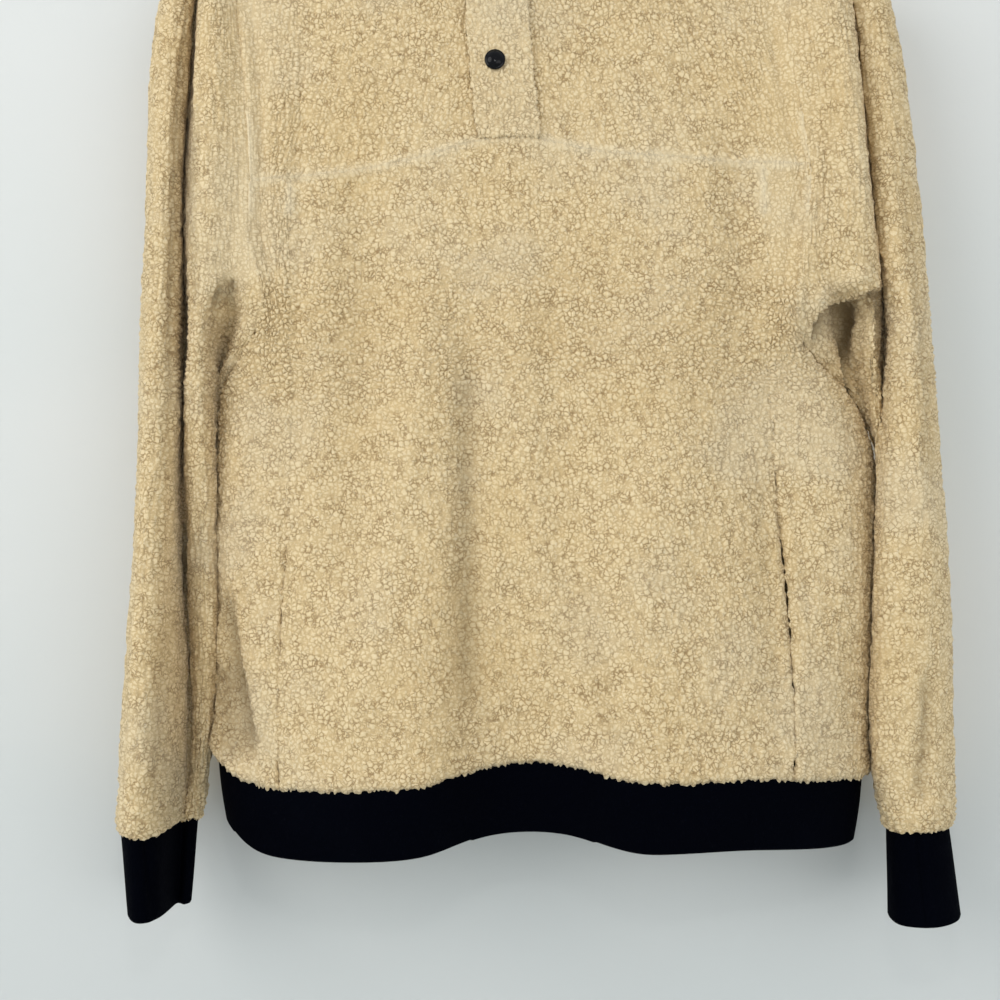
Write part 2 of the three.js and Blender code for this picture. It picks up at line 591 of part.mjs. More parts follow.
// Control points of a sleeve's plan section, from the front seam round the outside to the back seam.
function sleeveSection(side, z, seamFront, seamBack) {
  const at = (column) => read(SLEEVES[side], "z", z, column);
  const [sideX, sideY, crestX, crestY] = ["sideX", "sideY", "crestX", "crestY"].map(at);
  const [lipIn, creaseX, creaseY, lipOut] = ["lipIn", "creaseX", "creaseY", "lipOut"].map(at);
  const [outerY, edgeX, backY] = ["outerY", "edgeX", "backY"].map(at);
  const opensBack = sideY > seamFront.y;
  const turn = {
    x: mix(seamFront.x, sideX, 0.55),
    y: mix(seamFront.y, sideY, opensBack ? 0.12 : 0.6),
  };
  return [
    [seamFront.x, seamFront.y],
    [turn.x, turn.y],
    [sideX, sideY],
    [crestX, crestY],
    [lipIn, mix(crestY, creaseY, LIP_DROP)],
    [creaseX, creaseY],
    [lipOut, mix(outerY, creaseY, LIP_DROP)],
    [mix(lipOut, edgeX, 0.5), outerY],
    [edgeX, mix(outerY, backY, 0.45)],
    [mix(creaseX, edgeX, 0.55), backY],
    [mix(seamBack.x, edgeX, BACK_TURN), backY],
    [seamBack.x, seamBack.y],
  ];
}

function sectionRow(side, z, controls) {
  const curve = new THREE.CatmullRomCurve3(
    controls.map(([x, y]) => point(towards(side) * x, y, z)),
    false,
    "centripetal",
  );
  return curve.getPoints((controls.length - 1) * SLEEVE_STEPS);
}

// The upper rows follow the armhole, and shrink towards its tip over the sleeve head.
function armholeRow(side, j) {
  const z = edgeZ(j, side);
  const back = backEdge(j, side);
  const tip = { x: ROWS[0][side], z: edgeZ(0, side) };
  const domeShare = clamp01((tip.z - z) / DOME_HEIGHT);
  const spread = Math.max(TIP_SPREAD, Math.sqrt(1 - (1 - domeShare) ** 2));
  const seamFront = { x: ROWS[j][side], y: ROWS[j][side + "Y"] };
  const controls = sleeveSection(side, Math.min(z, tip.z - DOME_HEIGHT), seamFront, back);
  const shrunk = controls.map(([x, y], k) => {
    if (k === 0 || k === controls.length - 1) return [x, y];
    return [tip.x + (x - tip.x) * spread, y * spread];
  });
  return sectionRow(side, z, shrunk);
}

// Below the underarm the front and back edges meet in the under-sleeve seam.
function lowerRow(side, z) {
  const seam = { x: read(SLEEVES[side], "z", z, "seamX"), y: UNDER_SLEEVE_Y };
  return sectionRow(side, z, sleeveSection(side, z, seam, seam));
}

function cuffRow(side, z, share) {
  const { centreX, centreY, narrowX, narrowY, taper, lean } = CUFFS[side];
  const [scaleX, scaleY] = [narrowX * mix(1, taper, share), narrowY * mix(1, taper, share)];
  return lowerRow(side, SLEEVE_END + SLEEVE_ROUND).map((p) => {
    const centre = towards(side) * centreX;
    const y = centreY + (p.y - centreY) * scaleY + lean * share;
    return point(centre + (p.x - centre) * scaleX, y, z);
  });
}

function sleeveSheet(side) {
  const grid = [];
  for (let j = 0; j <= UNDERARM; j++) grid.push(armholeRow(side, j));
  SLEEVE_ROWS_BELOW.forEach((z) => grid.push(lowerRow(side, z)));
  grid.push(cuffRow(side, SLEEVE_END, 0));
  grid[0].forEach((p) => p.setZ(p.z - TIP_DROP));
  const last = grid[0].length - 1;
  return sheet(grid, -towards(side), (j, i) => {
    if (i !== 0 && i !== last) return j === 0 ? point(0, 0, -1) : null;
    if (j === 0) return point(0, 0, -1);
    if (j <= UNDERARM) return armholeInward(j, i === 0 ? 1 : -1);
    return point(towards(side), 0, 0);
  });
}

function sleevePieces(side) {
  const out = towards(side) * HALF_GAP;
  const [frontEdge, backEdgePull] = [point(out, -HALF_GAP, 0), point(out, HALF_GAP, 0)];
  const sleeve = sleeveSheet(side);
  const lastRow = sleeve.grid.length - 1;
  const lastColumn = sleeve.grid[0].length - 1;
  const heights = [0, 0.5, 1];
  const cuff = {
    grid: heights.map((share) => cuffRow(side, SLEEVE_END - CUFF_HEIGHT * share, share)),
    inward: heights.map(() => sleeve.inward[lastRow].map((v) => point(v.x, v.y, 0).normalize())),
  };
  sleeve.inward[lastRow] = cuff.inward[0];
  const columns = [0, lastColumn];
  return {
    sleeve: cut(sleeve, [0, lastRow], columns, FLEECE, [STAY, PULL_UP, frontEdge, backEdgePull]),
    cuff: cut(cuff, [0, heights.length - 1], columns, KNIT, [PULL_DOWN, STAY, frontEdge, backEdgePull]),
  };
}

// ---- placket and snaps ----
const yokeY = (x, z) => {
  const share = clamp01((frontTop(x) - z) / (frontTop(x) - chestZ(x)));
  const k = YOKE_ROWS.findIndex((row) => row.share >= share);
  const [a, b] = [YOKE_ROWS[Math.max(0, k - 1)], YOKE_ROWS[Math.max(1, k)]];
  const t = (share - a.share) / (b.share - a.share);
  const yAt = (row) => frontPoint(YOKE_ROWS.indexOf(row), x).y;
  return mix(yAt(a), yAt(b), t);
};
// The collar stands above the neckline and leans in.
const collarY = (x, z) => {
  const share = (z - frontTop(x)) / COLLAR_HEIGHT;
  return NECK_FRONT_Y * neckDepth(x) * (1 - COLLAR_LEAN * share);
};
const underPlacket = (x, z) => (z > frontTop(x) ? collarY(x, z) : yokeY(x, z));
const placketFace = (x, z) => underPlacket(x, z) - PLACKET.lift - PLACKET.thickness;

function placket() {
  const { topX, lowX, width, rows } = PLACKET;
  const top = NECK_FRONT + COLLAR_HEIGHT - 1;
  const grid = Array.from({ length: rows + 1 }, (_, j) => {
    const down = j / rows;
    const centre = mix(topX, lowX, down ** 2);
    return [-0.5, -0.17, 0.17, 0.5].map((across) => {
      const x = centre + across * width;
      const z = mix(top, chestZ(x) + 0.5, down);
      return point(x, placketFace(x, z), z);
    });
  });
  const source = { grid, inward: grid.map((row) => row.map(() => point(0, 1, 0))) };
  return cut(source, [0, rows], [0, 3], PLACKET.thickness, [STAY, STAY, STAY, STAY]);
}

// A domed press stud: rim, shallow groove and dome.
function snapGeometry() {
  const { radius, height } = SNAP;
  const profile = [
    // radius, height
    [0, 0],
    [radius - 0.4, 0],
    [radius, 0.8],
    [radius - 0.4, 1.7],
    [radius - 1.4, 2],
    [radius - 1.9, 2.5],
    [radius - 3.6, 3.6],
    [radius - 5.6, height - 0.1],
    [0, height],
  ];
  return new THREE.LatheGeometry(profile.map(([r, h]) => new THREE.Vector2(r, h)), 16);
}

// ---- hanger ----

const BAR_END_SHARE = 0.12; // how much of the bar's section is left at its rounded ends

// One bowed bar whose ends drop with the shoulder seams.
function hangerBar() {
  const { thickness, depth, reach, below, crown, crownWidth } = HANGER;
  const top = (x) => shoulderZ(x) - below + crown * Math.exp(-((x / crownWidth) ** 2));
  const stations = [-1, -0.97, -0.85, -0.65, -0.45, -0.25, 0, 0.25, 0.45, 0.65, 0.85, 0.97, 1];
  // Half of its section: share of the thickness, share of the depth from the top.
  const outline = [
    [0, 0],
    [0.32, 0.08],
    [0.5, 0.3],
    [0.5, 0.75],
    [0.3, 0.97],
    [0, 1],
  ];
  const section = [...outline, ...outline.slice(1, -1).reverse().map(([y, z]) => [-y, z])];
  const ends = (s) => Math.sqrt(Math.max(BAR_END_SHARE, 1 - Math.abs(s) ** 12));
  const rings = stations.map((s) =>
    section.map(([y, z]) => {
      const x = reach * s;
      const height = depth * ends(s);
      return point(x, y * thickness * ends(s), top(x) - (depth - height) / 2 - z * height);
    }),
  );
  const count = section.length;
  const positions = rings.flat().flatMap((p) => [p.x, p.y, p.z]);
  const index = [];
  for (let k = 0; k + 1 < rings.length; k++) {
    for (let i = 0; i < count; i++) {
      const next = (i + 1) % count;
      const [a, b, c, d] = [k * count + i, (k + 1) * count + i, (k + 1) * count + next, k * count + next];
      index.push(a, b, c, a, c, d);
    }
  }
  const last = (rings.length - 1) * count;
  for (let i = 1; i + 1 < count; i++) index.push(0, i, i + 1, last, last + i + 1, last + i);
  if (signedVolume(positions, index) < 0) index.reverse();
  const geometry = new THREE.BufferGeometry();
  geometry.setAttribute("position", new THREE.Float32BufferAttribute(positions, 3));
  geometry.setIndex(index);
  return geometry;
}

function hangerHook() {
  const { wire, radius, bow, bowHeight, straight } = HOOK;
  const centreZ = wire - radius;
  const arc = (degrees) => {
    const angle = THREE.MathUtils.degToRad(degrees);
    return point(radius * Math.cos(angle), 0, centreZ + radius * Math.sin(angle));
  };
  const foot = SHOULDER_TOP - HANGER.below + HANGER.crown + SEAM_GAP;
  const stem = [point(0, 0, foot), point(0, 0, foot + straight), point(bow, 0, foot + bowHeight)];
  const loop = [-48, -20, 10, 40, 70, 90, 115, 145, 175, 205].map(arc);
  const path = new THREE.CatmullRomCurve3([...stem, ...loop], false, "centripetal");
  const round = new THREE.Shape().absarc(0, 0, wire, 0, 2 * Math.PI);
  return new THREE.ExtrudeGeometry(round, { steps: 30, extrudePath: path, curveSegments: 4 });
}

// ---- the model ----
const material = (color, roughness, metalness = 0) =>
  new THREE.MeshStandardMaterial({ color, roughness, metalness });
const fleece = material(0xd6bf93, 0.95);
const knit = material(0x07090f, 0.85);
const gloss = material(0x08090c, 0.2);
const wood = material(0xb98f5f, 0.5);
const steel = material(0xc4c6c8, 0.25, 1);

const model = new THREE.Group();
function add(name, geometry, finish) {
  const mesh = new THREE.Mesh(geometry, finish);
  mesh.name = name;
  model.add(mesh);
  return mesh;
}

Object.entries(bodyPieces()).forEach(([name, geometry]) => add(name, geometry, fleece));
for (const side of ["left", "right"]) {
  const pieces = sleevePieces(side);
  add("sleeve_" + side, pieces.sleeve, fleece);
  add("cuff_" + side, pieces.cuff, knit);
}
add("stand_collar", collar(), fleece);
add("hem_band", hemBand(), knit);
add("placket", placket(), fleece);
SNAP.heights.forEach((z, k) => {
  const snap = add("snap_" + (k + 1), snapGeometry(), gloss);
  const face = placketFace(SNAP.x, z);
  const rise = underPlacket(SNAP.x, z + SNAP.radius) - underPlacket(SNAP.x, z - SNAP.radius);
  snap.rotation.x = Math.PI - Math.atan(rise / (2 * SNAP.radius));
  snap.position.set(SNAP.x, face - SNAP.lift, z);
});
add("hanger_bar", hangerBar(), wood);
add("hanger_hook", hangerHook(), steel);

export default model;
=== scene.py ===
"""A sherpa fleece pullover on a clothes hanger, in front of a pale wall.

Each cloth piece takes the outer wall of its solid in the frame, rounds it, puts soft folds and
seams into it, and raises the curls of the pile. Everything is in metres, apart from the places
of folds and pockets, which are (x, z) in millimetres, seen from the front.
"""
import math

import bpy
import numpy as np
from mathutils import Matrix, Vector
from mathutils.kdtree import KDTree


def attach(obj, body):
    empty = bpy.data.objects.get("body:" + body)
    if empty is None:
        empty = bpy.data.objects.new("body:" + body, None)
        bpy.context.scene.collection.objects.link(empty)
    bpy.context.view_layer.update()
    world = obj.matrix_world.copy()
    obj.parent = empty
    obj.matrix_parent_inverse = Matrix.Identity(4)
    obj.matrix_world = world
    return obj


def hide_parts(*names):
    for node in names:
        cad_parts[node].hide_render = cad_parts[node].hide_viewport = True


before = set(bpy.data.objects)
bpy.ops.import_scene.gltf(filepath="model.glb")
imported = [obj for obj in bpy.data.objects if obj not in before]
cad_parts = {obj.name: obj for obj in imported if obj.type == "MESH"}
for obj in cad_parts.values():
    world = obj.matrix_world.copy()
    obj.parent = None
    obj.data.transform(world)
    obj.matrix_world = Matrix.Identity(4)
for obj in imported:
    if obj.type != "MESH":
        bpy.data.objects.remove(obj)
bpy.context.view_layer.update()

MM = 0.001

# ---- the pieces of cloth ----
# facing: which side of the wall shows; levels: subdivisions; flat: the cut's width and length.
CLOTH = {
    "front_centre_panel": dict(facing="front", levels=4, flat=(0.36, 0.455), area=0.152),
    "side_front_left": dict(facing="front", levels=4, flat=(0.08, 0.42), area=0.0285),
    "side_front_right": dict(facing="front", levels=4, flat=(0.095, 0.43), area=0.033),
    "front_yoke_left": dict(facing="front", levels=4, flat=(0.21, 0.215), area=0.034),
    "front_yoke_right": dict(facing="front", levels=4, flat=(0.21, 0.205), area=0.033),
    "back_panel": dict(facing="back", levels=4, flat=(0.5, 0.64), area=0.275),
    "sleeve_left": dict(facing="round", levels=3, flat=(0.36, 0.63), area=0.178),
    "sleeve_right": dict(facing="round", levels=3, flat=(0.34, 0.63), area=0.165),
    "stand_collar": dict(facing="round", levels=4, flat=(0.36, 0.068), area=0.0235),
    "placket": dict(facing="front", levels=4, flat=(0.043, 0.182), area=0.0078),
    "hem_band": dict(facing="round", levels=4, flat=(1.04, 0.052), area=0.054),
    "cuff_left": dict(facing="round", levels=4, flat=(0.215, 0.061), area=0.0131),
    "cuff_right": dict(facing="round", levels=4, flat=(0.2, 0.061), area=0.0122),
}
KNIT_PIECES = ("hem_band", "cuff_left", "cuff_right")
SLEEVES = ("sleeve_left", "sleeve_right")
SIDE_FRONTS = ("side_front_left", "side_front_right")
YOKES = ("front_yoke_left", "front_yoke_right")
LOWER_FRONT = ("front_centre_panel",) + SIDE_FRONTS
ROUND_ARMHOLE = SLEEVES + SIDE_FRONTS + YOKES
BESIDE_SLEEVES = SIDE_FRONTS + ("back_panel",)
OVER_KNIT = LOWER_FRONT + SLEEVES + ("back_panel",)
CLOSED_WALL = KNIT_PIECES + ("stand_collar", "placket")

# Wall thickness of the solids in the frame, and of the rim given to a piece with an open back.
FLEECE_WALL = 3.2 * MM
KNIT_WALL = 2.4 * MM
PLACKET_WALL = 3.4 * MM
OPEN_RIM = 3 * MM

# ---- the pile ----
CURL = 3.3 * MM  # distance from one curl to the next
CURL_WARP = 2.0 * MM  # how far the curls' pattern is bent
CURL_CREVICE = 0.155  # width of the crevice between two curls, cut into the pile and painted with shade, as a share of a curl
PILE_HEIGHT = 2.1 * MM
PILE_DEPTH_SCALE = 0.6  # curls are longer front to back, so they look even on the turned sides
BODY_FOLD_SHADE = 0.3  # share of a body fold's height painted into the pile's colour as shade and light, against a sleeve crease
FOLD_SHADE_UNIT = 4 * MM  # fold height that gets the full painted shade or light
# the deepest painted shade a sunk fold gets, in those units
DARKEST_FOLD_SHADE = -2.2

# ---- reading the frame's walls ----


def wall_of(name):
    """The wall thickness of a cloth node."""
    if name in KNIT_PIECES:
        return KNIT_WALL
    return PLACKET_WALL if name == "placket" else FLEECE_WALL


def weld(node):
    """The node's corners once each, and its triangles."""
    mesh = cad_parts[node].data
    corners = np.array([v.co for v in mesh.vertices])
    found = {}
    index = np.array([found.setdefault(tuple(np.round(c, 5)), len(found)) for c in corners])
    points = np.zeros((len(found), 3))
    points[index] = corners
    triangles = np.array([[index[v] for v in p.vertices] for p in mesh.polygons])
    return points, triangles


def edge_table(triangles):
    """For each edge, the triangles that share it."""
    table = {}
    for k, tri in enumerate(triangles):
        for a, b in ((0, 1), (1, 2), (2, 0)):
            table.setdefault(frozenset((tri[a], tri[b])), []).append(k)
    return table


def rim_mask(points, triangles, wall, is_sleeve):
    """The triangles of the rim: they have an edge as long as the wall is thick, or lie level."""
    same_length = 0.04 * MM
    same_level = 0.1 * MM
    sleeve_head_rim = 4.5 * MM
    corner = points[triangles]
    lengths = np.linalg.norm(corner - np.roll(corner, -1, axis=1), axis=2)
    mask = (np.abs(lengths - wall) < same_length).any(1)
    z = corner[:, :, 2]
    low = points[:, 2].min()
    high = points[:, 2].max()
    mask |= (z < low + same_level).all(1) | (z > high - same_level).all(1)
    if is_sleeve:
        mask |= (z > high - sleeve_head_rim).all(1)
    return mask


def flood(triangles, table, blocked):
    """Groups of triangles that hang together without crossing a blocked one, largest first."""
    label = np.full(len(triangles), -1)
    groups = []
    for start in range(len(triangles)):
        if blocked[start] or label[start] >= 0:
            continue
        group = [start]
        label[start] = len(groups)
        for k in group:
            tri = triangles[k]
            for a, b in ((0, 1), (1, 2), (2, 0)):
                for other in table[frozenset((tri[a], tri[b]))]:
                    if not blocked[other] and label[other] < 0:
                        label[other] = len(groups)
                        group.append(other)
        groups.append(group)
    return sorted(groups, key=len, reverse=True)


def side_rank(points, side, facing):
    """Larger for the side of a wall that shows: the wider one of a tube, else the nearer one."""
    if facing == "round":
        a, b, c = (points[side[:, k]] for k in range(3))
        return np.linalg.norm(np.cross(b - a, c - a), axis=1).sum()
    middle = points[side].mean((0, 1))[1]
    return middle if facing == "back" else -middle


def outer_quads(node, facing):
    """The outer wall of a cloth node as points and four-sided faces."""
    points, triangles = weld(node)
    table = edge_table(triangles)
    blocked = rim_mask(points, triangles, wall_of(node), node in SLEEVES)
    sides = []
    for group in flood(triangles, table, blocked)[:2]:
        members = set(triangles[group].ravel())
        sides.append(np.array([tri for tri in triangles if set(tri) <= members]))
    side = max(sides, key=lambda one: side_rank(points, one, facing))
    used, side = np.unique(side, return_inverse=True)
    return points[used], pair_triangles(side.reshape(-1, 3))


def edge_families(triangles, table):
    """Sorts the edges of a grid of triangles into three families: along, across and diagonal."""
    family = {frozenset(triangles[0][[k, (k + 1) % 3]]): k for k in range(3)}
    queue = [0]
    seen = {0}
    for k in queue:
        tri = list(triangles[k])
        for a in range(3):
            u, v, w = tri[a], tri[(a + 1) % 3], tri[(a + 2) % 3]
            for other in table[frozenset((u, v))]:
                if other in seen:
                    continue
                x = (set(triangles[other]) - {u, v}).pop()
                family[frozenset((v, x))] = family[frozenset((u, w))]
                family[frozenset((u, x))] = family[frozenset((v, w))]
                seen.add(other)
                queue.append(other)
    return family


def pair_triangles(triangles):
    """Joins each two triangles across their cell's diagonal, the family that is never on the border."""
    table = edge_table(triangles)
    family = edge_families(triangles, table)
    border = [family[e] for e, owners in table.items() if len(owners) == 1]
    diagonal = min(range(3), key=border.count)
    quads = []
    for e, owners in table.items():
        if family[e] != diagonal:
            continue
        first = list(triangles[owners[0]])
        while first[0] not in e or first[1] in e:
            first = first[1:] + first[:1]
        # the first triangle now starts and ends on the diagonal; the other one's apex goes last
        apex = (set(triangles[owners[1]]) - set(e)).pop()
        quads.append((*first, apex))
    return quads


# ---- building meshes ----


def new_object(name, points, faces):
    """An object in the scene with a mesh of its own."""
    mesh = bpy.data.meshes.new(name)
    mesh.from_pydata([tuple(p) for p in points], [], faces)
    mesh.update()
    obj = bpy.data.objects.new(name, mesh)
    bpy.context.scene.collection.objects.link(obj)
    return obj


def bake(obj):
    """Applies the modifiers of an object."""
    deps = bpy.context.evaluated_depsgraph_get()
    mesh = bpy.data.meshes.new_from_object(obj.evaluated_get(deps))
    obj.modifiers.clear()
    old = obj.data
    obj.data = mesh
    bpy.data.meshes.remove(old)


def subdivide(obj, levels, boundary="ALL"):
    """Rounds an object by subdividing its faces."""
    modifier = obj.modifiers.new("subdivision", "SUBSURF")
    modifier.levels = levels
    modifier.render_levels = levels
    modifier.boundary_smooth = boundary
    bake(obj)


def thicken(obj, wall, rim_only):
    """Gives a sheet its wall, or only the wall's rim."""
    modifier = obj.modifiers.new("wall", "SOLIDIFY")
    modifier.thickness = wall
    modifier.offset = -1
    modifier.use_rim_only = rim_only
    modifier.use_even_offset = False
    bake(obj)


def read_vectors(collection, name, count):
    """One vector attribute of a mesh as an array with three columns."""
    flat = np.zeros(count * 3, np.float32)
    collection.foreach_get(name, flat)
    return flat.reshape(-1, 3).astype(float)


def edge_ends(mesh):
    """The two vertices of each edge."""
    ends = np.zeros(len(mesh.edges) * 2, int)
    mesh.edges.foreach_get("vertices", ends)
    return ends.reshape(-1, 2)


def border_points(mesh):
    """The vertices on open edges."""
    count = np.zeros(len(mesh.edges), int)
    loops = np.zeros(len(mesh.loops), int)
    mesh.loops.foreach_get("edge_index", loops)
    np.add.at(count, loops, 1)
    return np.unique(edge_ends(mesh)[count == 1])


def distance_to(points, targets):
    """How far each point is from the nearest target."""
    tree = KDTree(len(targets))
    for k, p in enumerate(targets):
        tree.insert(Vector(p), k)
    tree.balance()
    return np.array([tree.find(Vector(p))[2] for p in points])


def store(mesh, name, values):
    """Stores a value or a vector for each vertex, for the pile and the materials to read."""
    kind, field = ("FLOAT", "value") if values.ndim == 1 else ("FLOAT_VECTOR", "vector")
    attribute = mesh.attributes.new(name, kind, "POINT")
    attribute.data.foreach_set(field, values.astype(np.float32).ravel())


# ---- curves that blend one thing into another ----


def smooth_step(t):
    """0 up to t = 0, 1 from t = 1, and a soft rise between."""
    t = np.clip(t, 0, 1)
    return t * t * (3 - 2 * t)


def bell(distance, width):
    """1 at no distance, falling softly to almost nothing at twice the width."""
    return np.exp(-((distance / width) ** 2))


def above(points, level, blend):
    """1 at heights well above the level, 0 below it."""
    return smooth_step((points[:, 2] - level) / blend)


def below(points, level, blend):
    """1 at heights well below the level, 0 above it."""
    return smooth_step((level - points[:, 2]) / blend)


def front_share(normals):
    """1 where the cloth faces the front, 0 where it faces sideways or back."""
    return np.clip(-normals[:, 1] * 1.6, 0, 1)


def slow_noise(points, size, seed):
    """A smooth uneven value from -1 to 1, with waves about `size` metres long."""
    waves = 7
    rng = np.random.RandomState(seed)
    total = np.zeros(len(points))
    for _ in range(waves):
        direction = rng.normal(size=3)
        direction /= np.linalg.norm(direction)
        frequency = 2 * math.pi / (size * rng.uniform(0.7, 1.6))
        total += np.sin(points @ direction * frequency + rng.uniform(0, 2 * math.pi))
    return total / waves


# ---- soft folds placed one by one ----
# A fold is a run of (x, z) stations, with its half width and its height, all in millimetres.
# Its own share, where it has one, says how much of its height is painted into the colour as shade and
# light, in place of the body's share.
FOLD_STRENGTH = 1.5
FRONT_FOLDS = [
    dict(run=[(-148, -175), (-150, -300), (-152, -420), (-150, -560)], width=5, height=-1.6),
    dict(run=[(-112, -250), (-108, -380), (-112, -500), (-122, -640)], width=17, height=-3.0),
    dict(run=[(-58, -330), (-66, -450), (-92, -600), (-112, -715)], width=15, height=2.6),
    dict(run=[(-34, -390), (-32, -520), (-30, -640), (-28, -712)], width=11, height=-4.4, fold_shade=0.5),
    dict(run=[(0, -300), (4, -420), (14, -540), (34, -700)], width=15, height=2.4),
    dict(run=[(34, -565), (46, -640), (62, -722)], width=11, height=-3.0),
    dict(run=[(148, -250), (156, -350), (168, -430)], width=14, height=-3.2),
    dict(run=[(176, -500), (180, -600), (182, -690)], width=15, height=-2.6),
    dict(run=[(205, -420), (224, -520), (230, -650)], width=14, height=2.5),
    dict(run=[(-205, -585), (-198, -640), (-187, -690), (-180, -722)], width=7, height=-5.5, fold_shade=0.55),
    dict(run=[(-208, -640), (-201, -690), (-192, -725)], width=9, height=-3.0, fold_shade=0.8),
    dict(run=[(-180, -560), (-176, -640), (-170, -700)], width=9, height=2.4),
    dict(run=[(110, -330), (104, -470), (96, -610)], width=26, height=2.0),
]
BACK_FOLDS = [
    dict(run=[(-60, -150), (-80, -330), (-96, -520), (-104, -700)], width=16, height=-3.0),
    dict(run=[(60, -170), (52, -340), (40, -520), (30, -710)], width=18, height=2.6),
    dict(run=[(130, -220), (142, -380), (150, -560), (160, -700)], width=15, height=-3.2),
    dict(run=[(-150, -240), (-160, -420), (-150, -620)], width=14, height=2.4),
    dict(run=[(-10, -420), (-20, -560), (-16, -712)], width=13, height=-2.6),
]
SLEEVE_FOLDS = [
    dict(
        run=[(-229, -150), (-231, -240), (-235, -375), (-236, -445), (-238, -560)],
        width=5,
        height=-4.5,
    ),
    dict(
        run=[(-200, -380), (-205, -394), (-209, -408), (-212, -425), (-214, -450)],
        width=2.8,
        height=-3.8,
    ),
    dict(run=[(-195, -379), (-198, -392), (-203, -404)], width=3.4, height=-3.0),
    dict(
        run=[(-231, -500), (-236, -563), (-240, -602), (-243, -647), (-246, -770)],
        width=3.6,
        height=-3.4,
    ),
    dict(run=[(-221, -520), (-228, -620), (-234, -700), (-237, -770)], width=10, height=-1.7),
    dict(run=[(-196, -430), (-203, -450), (-209, -470)], width=8, height=3.0),
    dict(
        run=[(236, -388), (237, -423), (239, -443), (242, -470), (248, -505)],
        width=2.4,
        height=-4.5,
    ),
    dict(run=[(255, -380), (260, -395), (258, -418), (252, -470)], width=3.5, height=-3.0),
    dict(run=[(208, -412), (212, -392), (232, -382), (250, -376)], width=6, height=2.2),
    dict(run=[(-262, -230), (-266, -380), (-268, -560), (-276, -740)], width=9, height=-1.4),
    dict(run=[(-222, -250), (-225, -340), (-222, -420)], width=6, height=-1.6),
    dict(run=[(286, -640), (284, -690), (278, -755)], width=7, height=-2.4),
    dict(run=[(262, -240), (272, -320), (284, -420), (290, -560)], width=9, height=-1.6),
    dict(run=[(228, -200), (236, -290), (242, -350)], width=8, height=1.6),
]
CUFF_FOLDS = [
    dict(run=[(-252, -740), (-251, -790), (-246, -840)], width=2.6, height=-1.6),
    dict(run=[(279, -740), (280, -790), (282, -850)], width=2.6, height=-1.4),
]
# The raised line of each armhole seam, and the shallow valley beside it on the body.
LEFT_ARMHOLE = [(-197, -150), (-189, -227), (-185, -290), (-186, -352), (-181, -369)]
LEFT_ARMHOLE += [(-174, -392), (-177, -409), (-191, -428), (-199, -452)]
LEFT_VALLEY = [(-188, -160), (-180, -230), (-176, -300), (-177, -352), (-166, -388), (-170, -412)]
RIGHT_ARMHOLE = [(187, -150), (190, -207), (197, -241), (204, -274), (209, -297)]
RIGHT_ARMHOLE += [(209, -319), (204, -341), (199, -363), (196, -409), (195, -452)]
RIGHT_VALLEY = [(178, -160), (182, -215), (195, -290), (200, -316)]
RIGHT_VALLEY += [(194, -340), (189, -363), (186, -409)]
ARMHOLE_FOLDS = [
    dict(run=LEFT_ARMHOLE, width=3.8, height=2.2),
    dict(run=LEFT_VALLEY, width=4, height=-1.5),
    dict(run=RIGHT_ARMHOLE, width=3.8, height=2.0),
    dict(run=RIGHT_VALLEY, width=4, height=-1.5),
]
# The arch of the right sleeve at its underarm: a lip with a hollow below it.
ARCH_LIP = [(206, -424), (211, -406), (222, -397), (238, -394), (252, -388), (262, -384)]
ARCH_DEPTH = 7.0
ARCH_REACH = 34


def along_run(points, run):
    """For each point: its distance from the run, how far along it lies, and the run's whole length."""
    flat = points[:, [0, 2]] / MM
    run = np.array(run, float)
    lengths = np.linalg.norm(np.diff(run, axis=0), axis=1)
    starts = np.concatenate([[0], np.cumsum(lengths)])
    best = np.full(len(points), 1e9)
    along = np.zeros(len(points))
    for k in range(len(run) - 1):
        step = (run[k + 1] - run[k]) / lengths[k]
        t = np.clip((flat - run[k]) @ step, 0, lengths[k])
        gap = np.linalg.norm(flat - run[k] - t[:, None] * step, axis=1)
        nearer = gap < best
        best[nearer] = gap[nearer]
        along[nearer] = starts[k] + t[nearer]
    return best, along, starts[-1]


def fold_height(points, folds):
    """The height of the folds at each point, in metres. Each fold fades out at both its ends."""
    fade_in = 0.25
    fade_out = 0.2
    total = np.zeros(len(points))
    for fold in folds:
        best, along, whole = along_run(points, fold["run"])
        share = along / whole
        taper = smooth_step(share / fade_in) * smooth_step((1 - share) / fade_out)
        total += fold["height"] * FOLD_STRENGTH * MM * taper * bell(best, fold["width"])
    return total


def folds_as_shade(folds):
    """The folds with the heights that are painted into the pile's colour as shade and light."""
    return [dict(fold, height=fold["height"] * fold.get("fold_shade", BODY_FOLD_SHADE)) for fold in folds]


def arch_height(points):
    """The hollow below the lip of the right underarm."""
    x = points[:, 0] / MM
    lip = np.array(ARCH_LIP, float)
    drop = np.interp(x, lip[:, 0], lip[:, 1]) - points[:, 2] / MM
    sides = smooth_step((x - lip[0, 0]) / 5) * smooth_step((lip[-1, 0] - x) / 3)
    hollow = smooth_step(drop / 3) * (1 - smooth_step(drop / ARCH_REACH))
    return -ARCH_DEPTH * MM * hollow * sides


# ---- node helpers that serve shaders and geometry alike ----


